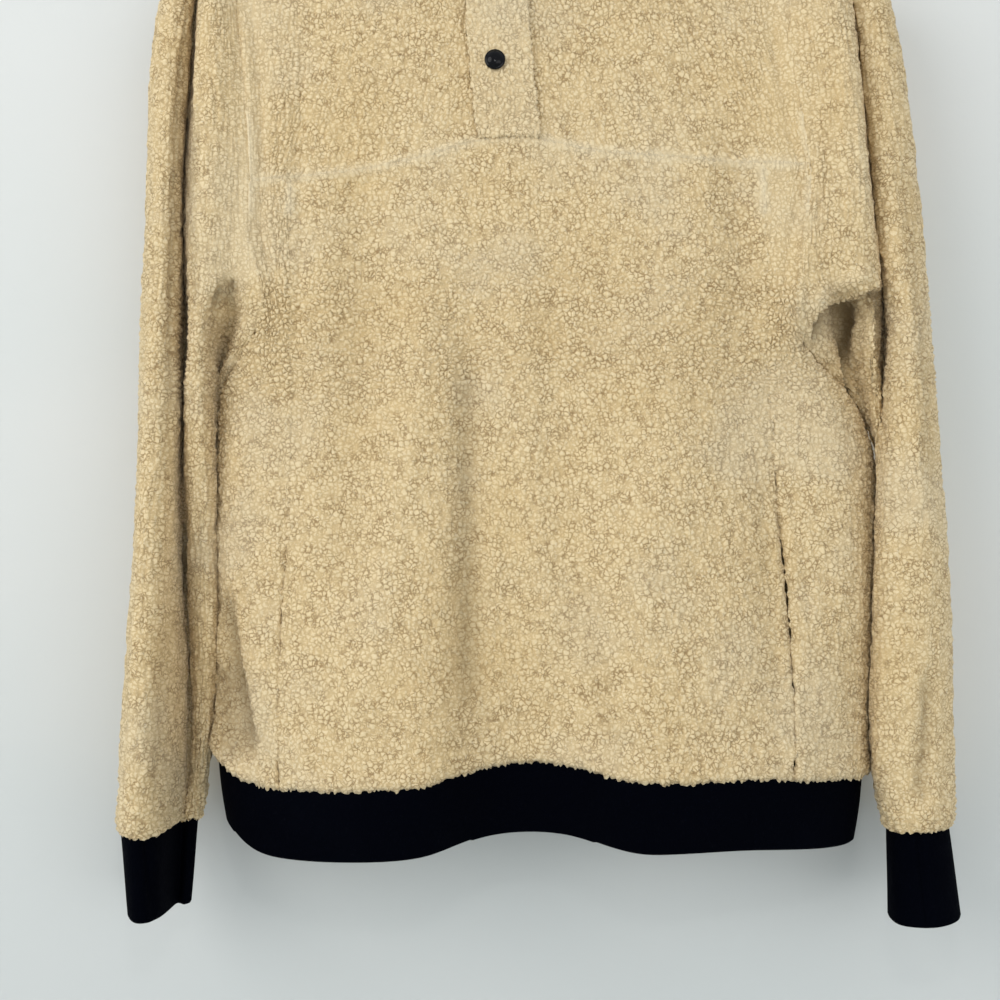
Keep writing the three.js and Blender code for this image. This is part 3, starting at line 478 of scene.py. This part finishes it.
class Nodes:
    """Short ways to add nodes to one tree."""

    def __init__(self, tree):
        self.tree = tree

    def add(self, kind, inputs=None, **settings):
        """A new node with its settings, and its inputs given as values or sockets."""
        node = self.tree.nodes.new(kind)
        for key, value in settings.items():
            setattr(node, key, value)
        for key, value in (inputs or {}).items():
            self.set(node.inputs[key], value)
        return node

    def set(self, socket, value):
        """Links a socket to another one, or gives it a value."""
        if isinstance(value, bpy.types.NodeSocket):
            self.tree.links.new(value, socket)
        else:
            socket.default_value = value

    def math(self, operation, a, b=0.0, c=0.0):
        """A sum, product or other operation on plain values."""
        node = self.add("ShaderNodeMath", {0: a, 1: b, 2: c}, operation=operation)
        return node.outputs[0]

    def vector(self, operation, a, b=(0, 0, 0), scale=1.0):
        """The same on vectors."""
        node = self.add("ShaderNodeVectorMath", {0: a, 1: b}, operation=operation)
        if operation == "SCALE":
            self.set(node.inputs["Scale"], scale)
        return node.outputs["Vector"]

    def noise(self, vector, scale, detail=2.0, output="Fac"):
        """Soft noise over a place, with about `scale` waves to a metre."""
        node = self.add("ShaderNodeTexNoise", {"Vector": vector, "Scale": scale, "Detail": detail})
        return node.outputs[output]

    def cells(self, vector, scale, feature="F1"):
        """The distance to a cell's middle, or to its edge."""
        inputs = {"Vector": vector, "Scale": scale}
        return self.add("ShaderNodeTexVoronoi", inputs, feature=feature).outputs["Distance"]

    def ramp(self, value, low, high, to_low=0.0, to_high=1.0):
        """A soft rise from `to_low` at `low` to `to_high` at `high`."""
        inputs = {"Value": value, "From Min": low, "From Max": high, "To Min": to_low, "To Max": to_high}
        node = self.add("ShaderNodeMapRange", inputs, interpolation_type="SMOOTHSTEP")
        return node.outputs["Result"]

    def mix(self, factor, a, b):
        """Colour `a` where the factor is 0, colour `b` where it is 1."""
        node = self.add("ShaderNodeMix", {0: factor, 6: a, 7: b}, data_type="RGBA")
        return node.outputs[2]

    def attribute(self, name, output="Vector"):
        """What store() has kept for each vertex."""
        node = self.add("ShaderNodeAttribute", attribute_name=name, attribute_type="GEOMETRY")
        return node.outputs[output]

    def object_place(self):
        """The place on the object, in its own metres."""
        return self.add("ShaderNodeTexCoord").outputs["Object"]

    def bump(self, shader, height, strength, distance):
        """Fine relief on a shader."""
        inputs = {"Height": height, "Strength": strength, "Distance": distance}
        self.set(shader.inputs["Normal"], self.add("ShaderNodeBump", inputs).outputs["Normal"])


def curl_pattern(nodes, rest):
    """Sherpa pile over the stored place `rest`: height of the curls, crevice mask and fine strands."""
    wander = nodes.noise(rest, 300.0, 1.5, "Color")
    centred = nodes.vector("SUBTRACT", wander, (0.5, 0.5, 0.5))
    shift = nodes.vector("SCALE", centred, scale=CURL_WARP * 2)
    edge = nodes.cells(nodes.vector("ADD", rest, shift), 1 / CURL, "DISTANCE_TO_EDGE")
    fine = nodes.noise(rest, 620.0, 1.0)
    dome = nodes.ramp(edge, 0.0, 0.36)
    height = nodes.math("MULTIPLY_ADD", fine, 0.5, nodes.math("MULTIPLY", dome, 0.75))
    crevice = nodes.ramp(edge, 0.0, CURL_CREVICE, 1.0, 0.0)
    return height, crevice, fine


def pile_modifier():
    """Raises the curls of the pile off the surface."""
    tree = bpy.data.node_groups.new("raise_pile", "GeometryNodeTree")
    for direction in ("INPUT", "OUTPUT"):
        tree.interface.new_socket("Geometry", in_out=direction, socket_type="NodeSocketGeometry")
    nodes = Nodes(tree)
    start = nodes.add("NodeGroupInput")
    rest = nodes.add("GeometryNodeInputNamedAttribute", {"Name": "rest"}, data_type="FLOAT_VECTOR")
    pile = nodes.add("GeometryNodeInputNamedAttribute", {"Name": "pile"}, data_type="FLOAT")
    height, crevice, _ = curl_pattern(nodes, rest.outputs["Attribute"])
    cut = nodes.math("SUBTRACT", height, nodes.math("MULTIPLY", crevice, 0.25))
    centred = nodes.math("SUBTRACT", cut, 0.5)
    length = nodes.math("MULTIPLY", pile.outputs["Attribute"], PILE_HEIGHT)
    amount = nodes.math("MULTIPLY", centred, length)
    normal = nodes.add("GeometryNodeInputNormal").outputs[0]
    offset = nodes.vector("SCALE", normal, scale=amount)
    move = nodes.add("GeometryNodeSetPosition", {"Geometry": start.outputs[0], "Offset": offset})
    end = nodes.add("NodeGroupOutput")
    tree.links.new(move.outputs["Geometry"], end.inputs[0])
    return tree


# ---- materials ----


def colour(r, g, b):
    """An opaque colour."""
    return (r, g, b, 1.0)


def material(name):
    """A new material with its nodes and its main shader."""
    mat = bpy.data.materials.new(name)
    mat.use_nodes = True
    shader = next(n for n in mat.node_tree.nodes if n.type == "BSDF_PRINCIPLED")
    return mat, Nodes(mat.node_tree), shader


def curl_colour(nodes, height, crevice, tip_relief_and_glint):
    """The cream of the curls: painted light on their crowns, painted shade in the crevices between them
    and painted highlights on their tips.
    """
    # light for the curls' crowns and middle lower down: painted light and shade on their relief
    light = colour(0.72, 0.58, 0.35)
    middle = colour(0.60, 0.455, 0.245)
    # painted shade for the crevices between curls
    crevice_shade = colour(0.25, 0.16, 0.07)
    # painted highlight on the tips of the curls
    tip_highlight = colour(0.88, 0.78, 0.57)
    # broken: patches where the painted crevice shade is weaker
    broken = nodes.ramp(nodes.noise(nodes.attribute("rest"), 120.0, 3.0), 0.36, 0.64, 0.15, 0.85)
    body = nodes.mix(nodes.ramp(height, 0.3, 1.0), middle, light)
    shaded = nodes.mix(nodes.math("MULTIPLY", crevice, broken), body, crevice_shade)
    return nodes.mix(nodes.ramp(tip_relief_and_glint, 0.55, 0.75, 0.0, 0.5), shaded, tip_highlight)


def uneven_colour(nodes, tone):
    """Broad warm and greyish patches, and paler cloth along the seams."""
    patch = nodes.noise(nodes.attribute("rest"), 13.0, 3.0)
    seam = nodes.math("MULTIPLY", nodes.attribute("seam", "Fac"), 0.45)
    warm = nodes.mix(nodes.ramp(patch, 0.5, 0.72, 0.0, 0.2), tone, colour(0.60, 0.42, 0.18))
    grey = nodes.mix(nodes.ramp(patch, 0.5, 0.3, 0.0, 0.2), warm, colour(0.60, 0.54, 0.41))
    return nodes.mix(seam, grey, colour(0.78, 0.68, 0.48))


def painted_fold_shade(nodes, tone):
    """Painted shade where a fold sinks, and a little painted light where it rises."""
    fold_shade = nodes.attribute("fold_shade", "Fac")
    sunk = nodes.ramp(fold_shade, 0.0, DARKEST_FOLD_SHADE, 0.0, 0.92)
    raised = nodes.ramp(fold_shade, 0.0, 1.0, 0.0, 0.16)
    # the painted shade in sunk folds, then the painted light on raised ones
    dark = nodes.mix(sunk, tone, colour(0.11, 0.072, 0.03))
    return nodes.mix(raised, dark, colour(0.92, 0.80, 0.56))


def fleece_material():
    """Cream sherpa pile: matt curls, with a faint sheen."""
    mat, nodes, shader = material("sherpa_fleece")
    rest = nodes.attribute("rest")
    height, crevice, fine = curl_pattern(nodes, rest)
    # noise of the curl tips: fine relief in the bump, and a painted highlight in the colour
    tip_relief_and_glint = nodes.noise(rest, 850.0, 2.0)
    # the painted crevice shade is weaker where the pile is shorter
    crevice = nodes.math("MULTIPLY", crevice, nodes.attribute("pile", "Fac"))
    curls = curl_colour(nodes, height, crevice, tip_relief_and_glint)
    nodes.set(shader.inputs["Base Color"], painted_fold_shade(nodes, uneven_colour(nodes, curls)))
    shader.inputs["Roughness"].default_value = 0.95
    shader.inputs["Specular IOR Level"].default_value = 0.1
    shader.inputs["Sheen Weight"].default_value = 0.15
    shader.inputs["Sheen Roughness"].default_value = 0.6
    shader.inputs["Sheen Tint"].default_value = colour(1.0, 0.93, 0.8)
    nodes.bump(shader, nodes.math("MULTIPLY_ADD", tip_relief_and_glint, 0.8, fine), 0.5, 0.7 * MM)
    return mat


def knit_material():
    """Fine near-black knit, with a little lint and wear."""
    mat, nodes, shader = material("fine_black_knit")
    rest = nodes.attribute("rest")
    loop = 1.1 * MM
    loops = nodes.cells(nodes.vector("MULTIPLY", rest, (1.0, 1.0, 0.45)), 1 / loop)
    lint = nodes.ramp(nodes.noise(rest, 260.0, 4.0), 0.62, 0.78)
    wear = nodes.ramp(nodes.noise(rest, 14.0, 3.0), 0.4, 0.75)
    base = nodes.mix(wear, colour(0.0004, 0.0007, 0.0022), colour(0.0008, 0.0012, 0.003))
    dusty = nodes.mix(nodes.math("MULTIPLY", lint, 0.1), base, colour(0.01, 0.01, 0.012))
    nodes.set(shader.inputs["Base Color"], dusty)
    nodes.set(shader.inputs["Roughness"], nodes.ramp(loops, 0.0, 0.8, 0.82, 0.96))
    shader.inputs["Specular IOR Level"].default_value = 0.02
    nodes.bump(shader, loops, 0.35, 0.35 * MM)
    return mat


def stud_material():
    """Glossy black lacquer, slightly scuffed."""
    mat, nodes, shader = material("gloss_black_stud")
    scuff = nodes.noise(nodes.object_place(), 900.0, 4.0)
    black = colour(0.001, 0.001, 0.002)
    worn = colour(0.004, 0.004, 0.005)
    nodes.set(shader.inputs["Base Color"], nodes.mix(nodes.ramp(scuff, 0.4, 0.8), black, worn))
    nodes.set(shader.inputs["Roughness"], nodes.ramp(scuff, 0.3, 0.8, 0.08, 0.13))
    shader.inputs["Specular IOR Level"].default_value = 0.15
    shader.inputs["Coat Weight"].default_value = 0.03
    shader.inputs["Coat Roughness"].default_value = 0.08
    nodes.bump(shader, scuff, 0.08, 0.1 * MM)
    return mat


def wood_material():
    """Varnished wood, with its grain along the bar."""
    mat, nodes, shader = material("varnished_wood")
    place = nodes.object_place()
    grain = nodes.noise(nodes.vector("MULTIPLY", place, (6.0, 90.0, 60.0)), 3.0, 6.0)
    pores = nodes.noise(nodes.vector("MULTIPLY", place, (60.0, 700.0, 700.0)), 1.0, 2.0)
    late = colour(0.40, 0.23, 0.10)
    early = colour(0.58, 0.38, 0.19)
    tone = nodes.mix(nodes.ramp(grain, 0.3, 0.7), late, early)
    dark = nodes.mix(nodes.ramp(pores, 0.6, 0.8, 0.0, 0.4), tone, colour(0.2, 0.1, 0.04))
    nodes.set(shader.inputs["Base Color"], dark)
    nodes.set(shader.inputs["Roughness"], nodes.ramp(grain, 0.2, 0.8, 0.32, 0.5))
    shader.inputs["Coat Weight"].default_value = 0.3
    nodes.bump(shader, pores, 0.2, 0.2 * MM)
    return mat


def steel_material():
    """Plated steel wire, with fine scratches."""
    mat, nodes, shader = material("plated_wire")
    stretched = nodes.vector("MULTIPLY", nodes.object_place(), (500.0, 500.0, 120.0))
    scratches = nodes.noise(stretched, 1.0, 5.0)
    bright = colour(0.62, 0.63, 0.65)
    dull = colour(0.48, 0.48, 0.49)
    nodes.set(shader.inputs["Base Color"], nodes.mix(nodes.ramp(scratches, 0.4, 0.7), bright, dull))
    shader.inputs["Metallic"].default_value = 1.0
    nodes.set(shader.inputs["Roughness"], nodes.ramp(scratches, 0.3, 0.7, 0.16, 0.34))
    nodes.bump(shader, scratches, 0.06, 0.1 * MM)
    return mat


def wall_material():
    """Matt paint, with painted shade making it a little darker toward the floor. Seen from behind it is
    clear.
    """
    mat, nodes, shader = material("wall_paint")
    place = nodes.object_place()
    level = nodes.add("ShaderNodeSeparateXYZ", {0: place}).outputs[2]
    cool = colour(0.625, 0.65, 0.64)
    warm = colour(0.665, 0.675, 0.66)
    tone = nodes.mix(nodes.ramp(nodes.noise(place, 3.0, 2.0), 0.3, 0.7), cool, warm)
    # painted shade: the wall darker toward the floor
    low = nodes.ramp(level, -0.45, -1.05, 0.0, 0.5)
    nodes.set(shader.inputs["Base Color"], nodes.mix(low, tone, colour(0.50, 0.535, 0.535)))
    shader.inputs["Roughness"].default_value = 0.85
    shader.inputs["Specular IOR Level"].default_value = 0.2
    nodes.bump(shader, nodes.noise(place, 160.0, 4.0), 0.25, 0.4 * MM)
    clear = nodes.add("ShaderNodeBsdfTransparent").outputs[0]
    behind = nodes.add("ShaderNodeNewGeometry").outputs["Backfacing"]
    see_through = nodes.add("ShaderNodeMixShader", {0: behind, 1: shader.outputs[0], 2: clear})
    out = next(n for n in mat.node_tree.nodes if n.type == "OUTPUT_MATERIAL")
    nodes.set(out.inputs["Surface"], see_through.outputs[0])
    return mat


# ---- shaping the cloth ----
# The pocket mouths: which side they are on and their heights, in millimetres.
POCKETS = [
    dict(side=-1, top=-536, bottom=-664),
    dict(side=1, top=-532, bottom=-658),
]
POCKET_BLEND = 20
POCKET_NEAREST = 120
POCKET_FURTHEST = 215
SEAM_SPREAD = 0.75 * MM
# Heights and distances from the middle that the shaping goes by, in metres.
BODY_MEETS_SLEEVE = -0.43
SLEEVE_ENDS = -0.77
UNDERARM = -0.40
YOKE_SEAM_TOP = -0.265  # a yoke's border below this is its chest seam
PANEL_SEAM_FOOT = -0.335  # a lower panel's border above this is its chest seam
HEM_SEAM_TOP = -0.705  # a panel's border below this is its edge over the hem band
ARMHOLE_LINE = 0.187
BODY_SIDE = 0.175
SLEEVE_MIDDLE = 0.268
PLACKET_LEFT = -0.02
PLACKET_FOOT = -0.25
BLEND = 0.03


def pocket_mouth(points):
    """1 at the height of the pocket mouths on either side of the body, 0 elsewhere."""
    total = np.zeros(len(points))
    x = points[:, 0] / MM
    z = points[:, 2] / MM
    for pocket in POCKETS:
        outward = x * pocket["side"]
        inside = (outward > POCKET_NEAREST) & (outward < POCKET_FURTHEST)
        under_top = smooth_step((pocket["top"] - z) / POCKET_BLEND + 0.5)
        over_bottom = smooth_step((z - pocket["bottom"]) / POCKET_BLEND + 0.5)
        total += inside * (under_top * over_bottom)
    return total


def beside_body(points):
    """1 at the heights where a sleeve hangs against the body, 0 above and below."""
    return below(points, BODY_MEETS_SLEEVE, BLEND) * above(points, SLEEVE_ENDS, BLEND)


def chest_seam(name, points, border):
    """How near each point is to the chest seam, from 0 to 1."""
    edge = points[border]
    if name in YOKES:
        line = edge[edge[:, 2] < YOKE_SEAM_TOP]
    elif name in LOWER_FRONT:
        line = edge[edge[:, 2] > PANEL_SEAM_FOOT]
    else:
        return np.zeros(len(points))
    return bell(distance_to(points, line), 3.4 * MM) if len(line) else np.zeros(len(points))


def lower_edge(name, points, border):
    """How far each point is from the fleece's lower edge over the knit."""
    edge = points[border]
    z = edge[:, 2]
    if name in SLEEVES:
        return distance_to(points, edge[z < points[:, 2].min() + 4 * MM])
    return distance_to(points, edge[(z < HEM_SEAM_TOP) & (z < z.min() + 20 * MM)])


def sleeve_swell(points, normals):
    """Fills out the inner side of a sleeve where it hangs against the body."""
    inner = smooth_step((SLEEVE_MIDDLE - np.abs(points[:, 0])) / (12 * MM))
    sideways = np.clip(np.abs(normals[:, 0]) * 2 - 0.8, 0, 1)
    return beside_body(points) * inner * sideways * 2.3 * MM


def placket_sink(points):
    """Lets the placket down toward its right edge and its lower end."""
    across = smooth_step((points[:, 0] - PLACKET_LEFT) / BLEND)
    return 1.1 * MM * np.maximum(across, below(points, PLACKET_FOOT, BLEND))


def own_folds(name, points, front):
    """A fleece piece's folds: their height, and the height painted into its colour as shade and light.
    """
    folds = np.zeros(len(points))
    # tone: the fold height painted into the pile's colour as shade and light
    tone = folds
    if name in SLEEVES:
        folds = fold_height(points, SLEEVE_FOLDS) * front
        folds += fold_height(points, BACK_FOLDS) * (1 - front) * 0.3
        if name == "sleeve_right":
            folds += arch_height(points) * front
        tone = folds
    elif name in LOWER_FRONT + YOKES:
        folds = fold_height(points, FRONT_FOLDS)
        tone = fold_height(points, folds_as_shade(FRONT_FOLDS))
    elif name == "back_panel":
        folds = fold_height(points, BACK_FOLDS) * (1 - front)
        tone = folds * BODY_FOLD_SHADE
    if name in ROUND_ARMHOLE:
        armhole = fold_height(points, ARMHOLE_FOLDS) * front
        folds = folds + armhole
        tone = tone + armhole * 0.5
    return folds, tone


def fleece_height(name, points, normals, gap, seam):
    """How far a fleece piece's points move outward, and the fold height painted into its colour as shade
    and light.
    """
    folds, tone = own_folds(name, points, front_share(normals))
    height = slow_noise(points, 0.07, 3) * 0.7 * MM + slow_noise(points, 0.16, 5) * 0.9 * MM
    height *= smooth_step(gap / (14 * MM))
    height += folds * (0.5 + 0.5 * smooth_step(gap / (10 * MM)))
    if name in SLEEVES:
        height += sleeve_swell(points, normals)
    if name == "placket":
        height -= placket_sink(points)
    height += seam * 1.0 * MM
    mouth = pocket_mouth(points)
    height -= mouth * 1.2 * MM * bell(gap, 2.0 * MM)
    height += mouth * 0.8 * MM * bell(gap - 4.5 * MM, 2.5 * MM)
    return height, tone


def nubby_edge(points, low):
    """The fleece's edge over the knit: how far it swells, and how unevenly it ends."""
    swell = 2.4 * MM * bell(low, 16 * MM) * smooth_step(low / (2.5 * MM) + 0.35)
    edge = bell(low, 3 * MM)
    nubs = slow_noise(points, 0.009, 11) * 1.6 * MM * edge
    return swell, nubs - 1.0 * MM * edge


def pile_length(name, points):
    """1 for the full pile, and less beside an armhole's seam, above the underarm."""
    pile = np.ones(len(points))
    if name in ROUND_ARMHOLE:
        beside = bell(np.abs(points[:, 0]) - ARMHOLE_LINE, 16 * MM)
        pile -= 0.6 * beside * above(points, UNDERARM, BLEND)
    return pile


def seam_spread(name, points, low):
    """How far a piece's border moves outward in its own surface, to meet its neighbours."""
    spread = np.full(len(points), SEAM_SPREAD)
    if name in SIDE_FRONTS:
        spread += 0.8 * MM
    if low is not None:
        spread += 0.6 * MM * bell(low, 20 * MM) * (low > 2 * MM)
    if name in LOWER_FRONT:
        spread += pocket_mouth(points) * np.where(points[:, 0] > 0, 1.5, 1.0) * MM
    return spread


def widen(mesh, points, border, amount):
    """Moves the border outward in the cloth's own surface, by an amount for each point."""
    ends = edge_ends(mesh)
    on_border = np.zeros(len(points), bool)
    on_border[border] = True
    inward = np.zeros_like(points)
    for a, b in (ends.T, ends.T[::-1]):
        crossing = on_border[a] & ~on_border[b]
        np.add.at(inward, a[crossing], points[b[crossing]] - points[a[crossing]])
    length = np.linalg.norm(inward, axis=1)
    moved = length > 0
    points[moved] -= inward[moved] / length[moved, None] * amount[moved, None]


def shape_knit(name, points, normals, border):
    """The new points of a knit band: slow waves, a crease in a cuff, and a rolled free edge."""
    edge = points[border]
    free = distance_to(points, edge[edge[:, 2] < points[:, 2].min() + 12 * MM])
    roll = (1.4 if name == "hem_band" else 0.8) * MM
    height = slow_noise(points, 0.05, 7) * 0.35 * MM
    height += fold_height(points, CUFF_FOLDS) * front_share(normals)
    height -= roll - np.sqrt(np.maximum(roll**2 - np.maximum(roll - free, 0) ** 2, 0))
    return points + normals * height[:, None]


def shape_fleece(name, mesh, points, normals, border):
    """The new points of a fleece piece, and its values of seam, painted fold shade and pile."""
    gap = distance_to(points, points[border])
    seam = chest_seam(name, points, border)
    height, tone = fleece_height(name, points, normals, gap, seam)
    low = None
    if name in OVER_KNIT:
        low = lower_edge(name, points, border)
        swell, lift = nubby_edge(points, low)
        height += swell
        points[:, 2] += lift
    if name == "placket":
        seam = np.maximum(seam, 0.4)
    pile = pile_length(name, points)
    points = points + normals * height[:, None]
    if name in BESIDE_SLEEVES:
        outer = smooth_step((np.abs(points[:, 0]) - BODY_SIDE) / BLEND)
        points[:, 0] += np.sign(points[:, 0]) * beside_body(points) * outer * 3.9 * MM
    widen(mesh, points, border, seam_spread(name, points, low))
    return points, seam, tone, pile


def shape_cloth(name, mesh):
    """Puts the folds and seams into one piece, and stores what its pile and material read."""
    points = read_vectors(mesh.vertices, "co", len(mesh.vertices))
    normals = read_vectors(mesh.vertex_normals, "vector", len(mesh.vertices))
    border = border_points(mesh)
    if name in KNIT_PIECES:
        points = shape_knit(name, points, normals, border)
        seam = tone = pile = np.zeros(len(points))
    else:
        points, seam, tone, pile = shape_fleece(name, mesh, points, normals, border)
    mesh.vertices.foreach_set("co", points.astype(np.float32).ravel())
    mesh.update()
    store(mesh, "rest", points * (1, PILE_DEPTH_SCALE, 1))
    store(mesh, "seam", seam)
    store(mesh, "pile", pile)
    # the fold heights that the material paints as shade and light
    store(mesh, "fold_shade", np.clip(tone / FOLD_SHADE_UNIT, DARKEST_FOLD_SHADE, 1))


# ---- the pieces ----


def finish_piece(obj, mat, node):
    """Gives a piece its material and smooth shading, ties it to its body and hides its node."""
    obj.data.materials.clear()
    obj.data.materials.append(mat)
    obj.data.polygons.foreach_set("use_smooth", [True] * len(obj.data.polygons))
    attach(obj, "root")
    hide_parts(node)


def cloth_piece(name, facing, levels, flat, area):
    """One piece of fleece or knit, from the outer wall of its node."""
    points, quads = outer_quads(name, facing)
    obj = new_object(name + "_cloth", points, quads)
    subdivide(obj, levels, "PRESERVE_CORNERS")
    shape_cloth(name, obj.data)
    closed = name in CLOSED_WALL
    thicken(obj, wall_of(name) if closed else OPEN_RIM, rim_only=not closed)
    if name in KNIT_PIECES:
        finish_piece(obj, KNIT, name)
    else:
        obj.modifiers.new("pile", "NODES").node_group = PILE
        bake(obj)
        finish_piece(obj, FLEECE, name)


def hard_part(node, name, levels, mat):
    """A hard part of the frame, with its facets rounded."""
    points, triangles = weld(node)
    obj = new_object(name, points, [tuple(map(int, tri)) for tri in triangles])
    subdivide(obj, levels)
    finish_piece(obj, mat, node)


# ---- stage, light and camera ----
# The wall stands just behind the garment, and the camera is level, one metre in front.
WALL_DEPTH = 0.052
WALL_TOP = 1.6
FLOOR_LEVEL = -1.15
FLOOR_NEAR = -2.6
FLOOR_FAR = 2.2
STAGE_HALF = 2.6
DAYLIGHT = (1.0, 0.985, 0.96)
LAMPLIGHT = (1.0, 0.99, 0.97)
CHEST = (0.0, 0.0, -0.4)
WAIST = (0.0, 0.0, -0.45)
HEM = (0.0, 0.0, -0.7)
LIGHTS = [
    dict(name="key", place=(-1.9, -1.8, 0.25), target=WAIST, size=2.0, power=31, tint=DAYLIGHT),
    dict(name="fill", place=(1.2, -2.0, -0.9), target=HEM, size=2.0, power=16, tint=DAYLIGHT),
    dict(name="lamp", place=(0.0, -1.05, -0.13), target=CHEST, size=0.05, power=0.6, tint=LAMPLIGHT),
    dict(name="back_fill", place=(0.6, 1.9, 0.4), target=WAIST, size=1.6, power=22, tint=LAMPLIGHT),
]
CAMERA_PLACE = (-0.0105, -1.03, -0.535)
SENSOR_WIDTH = 36
LENS = 51.4


def plane(name, corners, paint):
    """A flat, painted part of the stage."""
    obj = new_object(name, corners, [(0, 1, 2, 3)])
    obj.data.materials.append(paint)
    return obj


def build_stage():
    """The wall and the floor."""
    paint = wall_material()
    foot = [(-STAGE_HALF, WALL_DEPTH, FLOOR_LEVEL), (STAGE_HALF, WALL_DEPTH, FLOOR_LEVEL)]
    head = [(STAGE_HALF, WALL_DEPTH, WALL_TOP), (-STAGE_HALF, WALL_DEPTH, WALL_TOP)]
    wall = plane("wall", foot + head, paint)
    wall.visible_shadow = False  # so that the garment's back is lit too
    near = [(-STAGE_HALF, FLOOR_NEAR, FLOOR_LEVEL), (STAGE_HALF, FLOOR_NEAR, FLOOR_LEVEL)]
    far = [(STAGE_HALF, FLOOR_FAR, FLOOR_LEVEL), (-STAGE_HALF, FLOOR_FAR, FLOOR_LEVEL)]
    plane("floor", near + far, paint)


def area_light(name, place, target, size, power, tint):
    """A round soft light that faces its target."""
    data = bpy.data.lights.new(name, "AREA")
    data.shape = "DISK"
    data.size = size
    data.energy = power
    data.color = tint
    obj = bpy.data.objects.new(name, data)
    obj.location = place
    direction = Vector(target) - Vector(place)
    obj.rotation_euler = direction.to_track_quat("-Z", "Y").to_euler()
    bpy.context.scene.collection.objects.link(obj)


def room_light():
    """Even, slightly cool light from all round."""
    world = bpy.data.worlds.new("room")
    world.use_nodes = True
    background = world.node_tree.nodes["Background"]
    background.inputs["Color"].default_value = colour(0.92, 0.96, 1.0)
    background.inputs["Strength"].default_value = 0.82
    bpy.context.scene.world = world


def build_camera():
    """The camera of the photo: level, and square to the wall."""
    data = bpy.data.cameras.new("camera")
    data.sensor_width = SENSOR_WIDTH
    data.lens = LENS
    obj = bpy.data.objects.new("camera", data)
    obj.location = CAMERA_PLACE
    obj.rotation_euler = (math.pi / 2, 0, 0)
    bpy.context.scene.collection.objects.link(obj)
    bpy.context.scene.camera = obj


# ---- building the scene ----
PILE = pile_modifier()
FLEECE = fleece_material()
KNIT = knit_material()
STUD = stud_material()

build_camera()
build_stage()
for light in LIGHTS:
    area_light(**light)
room_light()
bpy.context.scene.view_settings.view_transform = "Standard"
hard_part("hanger_bar", "hanger_bar_wood", 1, wood_material())
hard_part("hanger_hook", "hanger_hook_wire", 1, steel_material())
for k in (1, 2, 3):
    hard_part(f"snap_{k}", f"stud_{k}", 2, STUD)
for piece, spec in CLOTH.items():
    cloth_piece(piece, **spec)
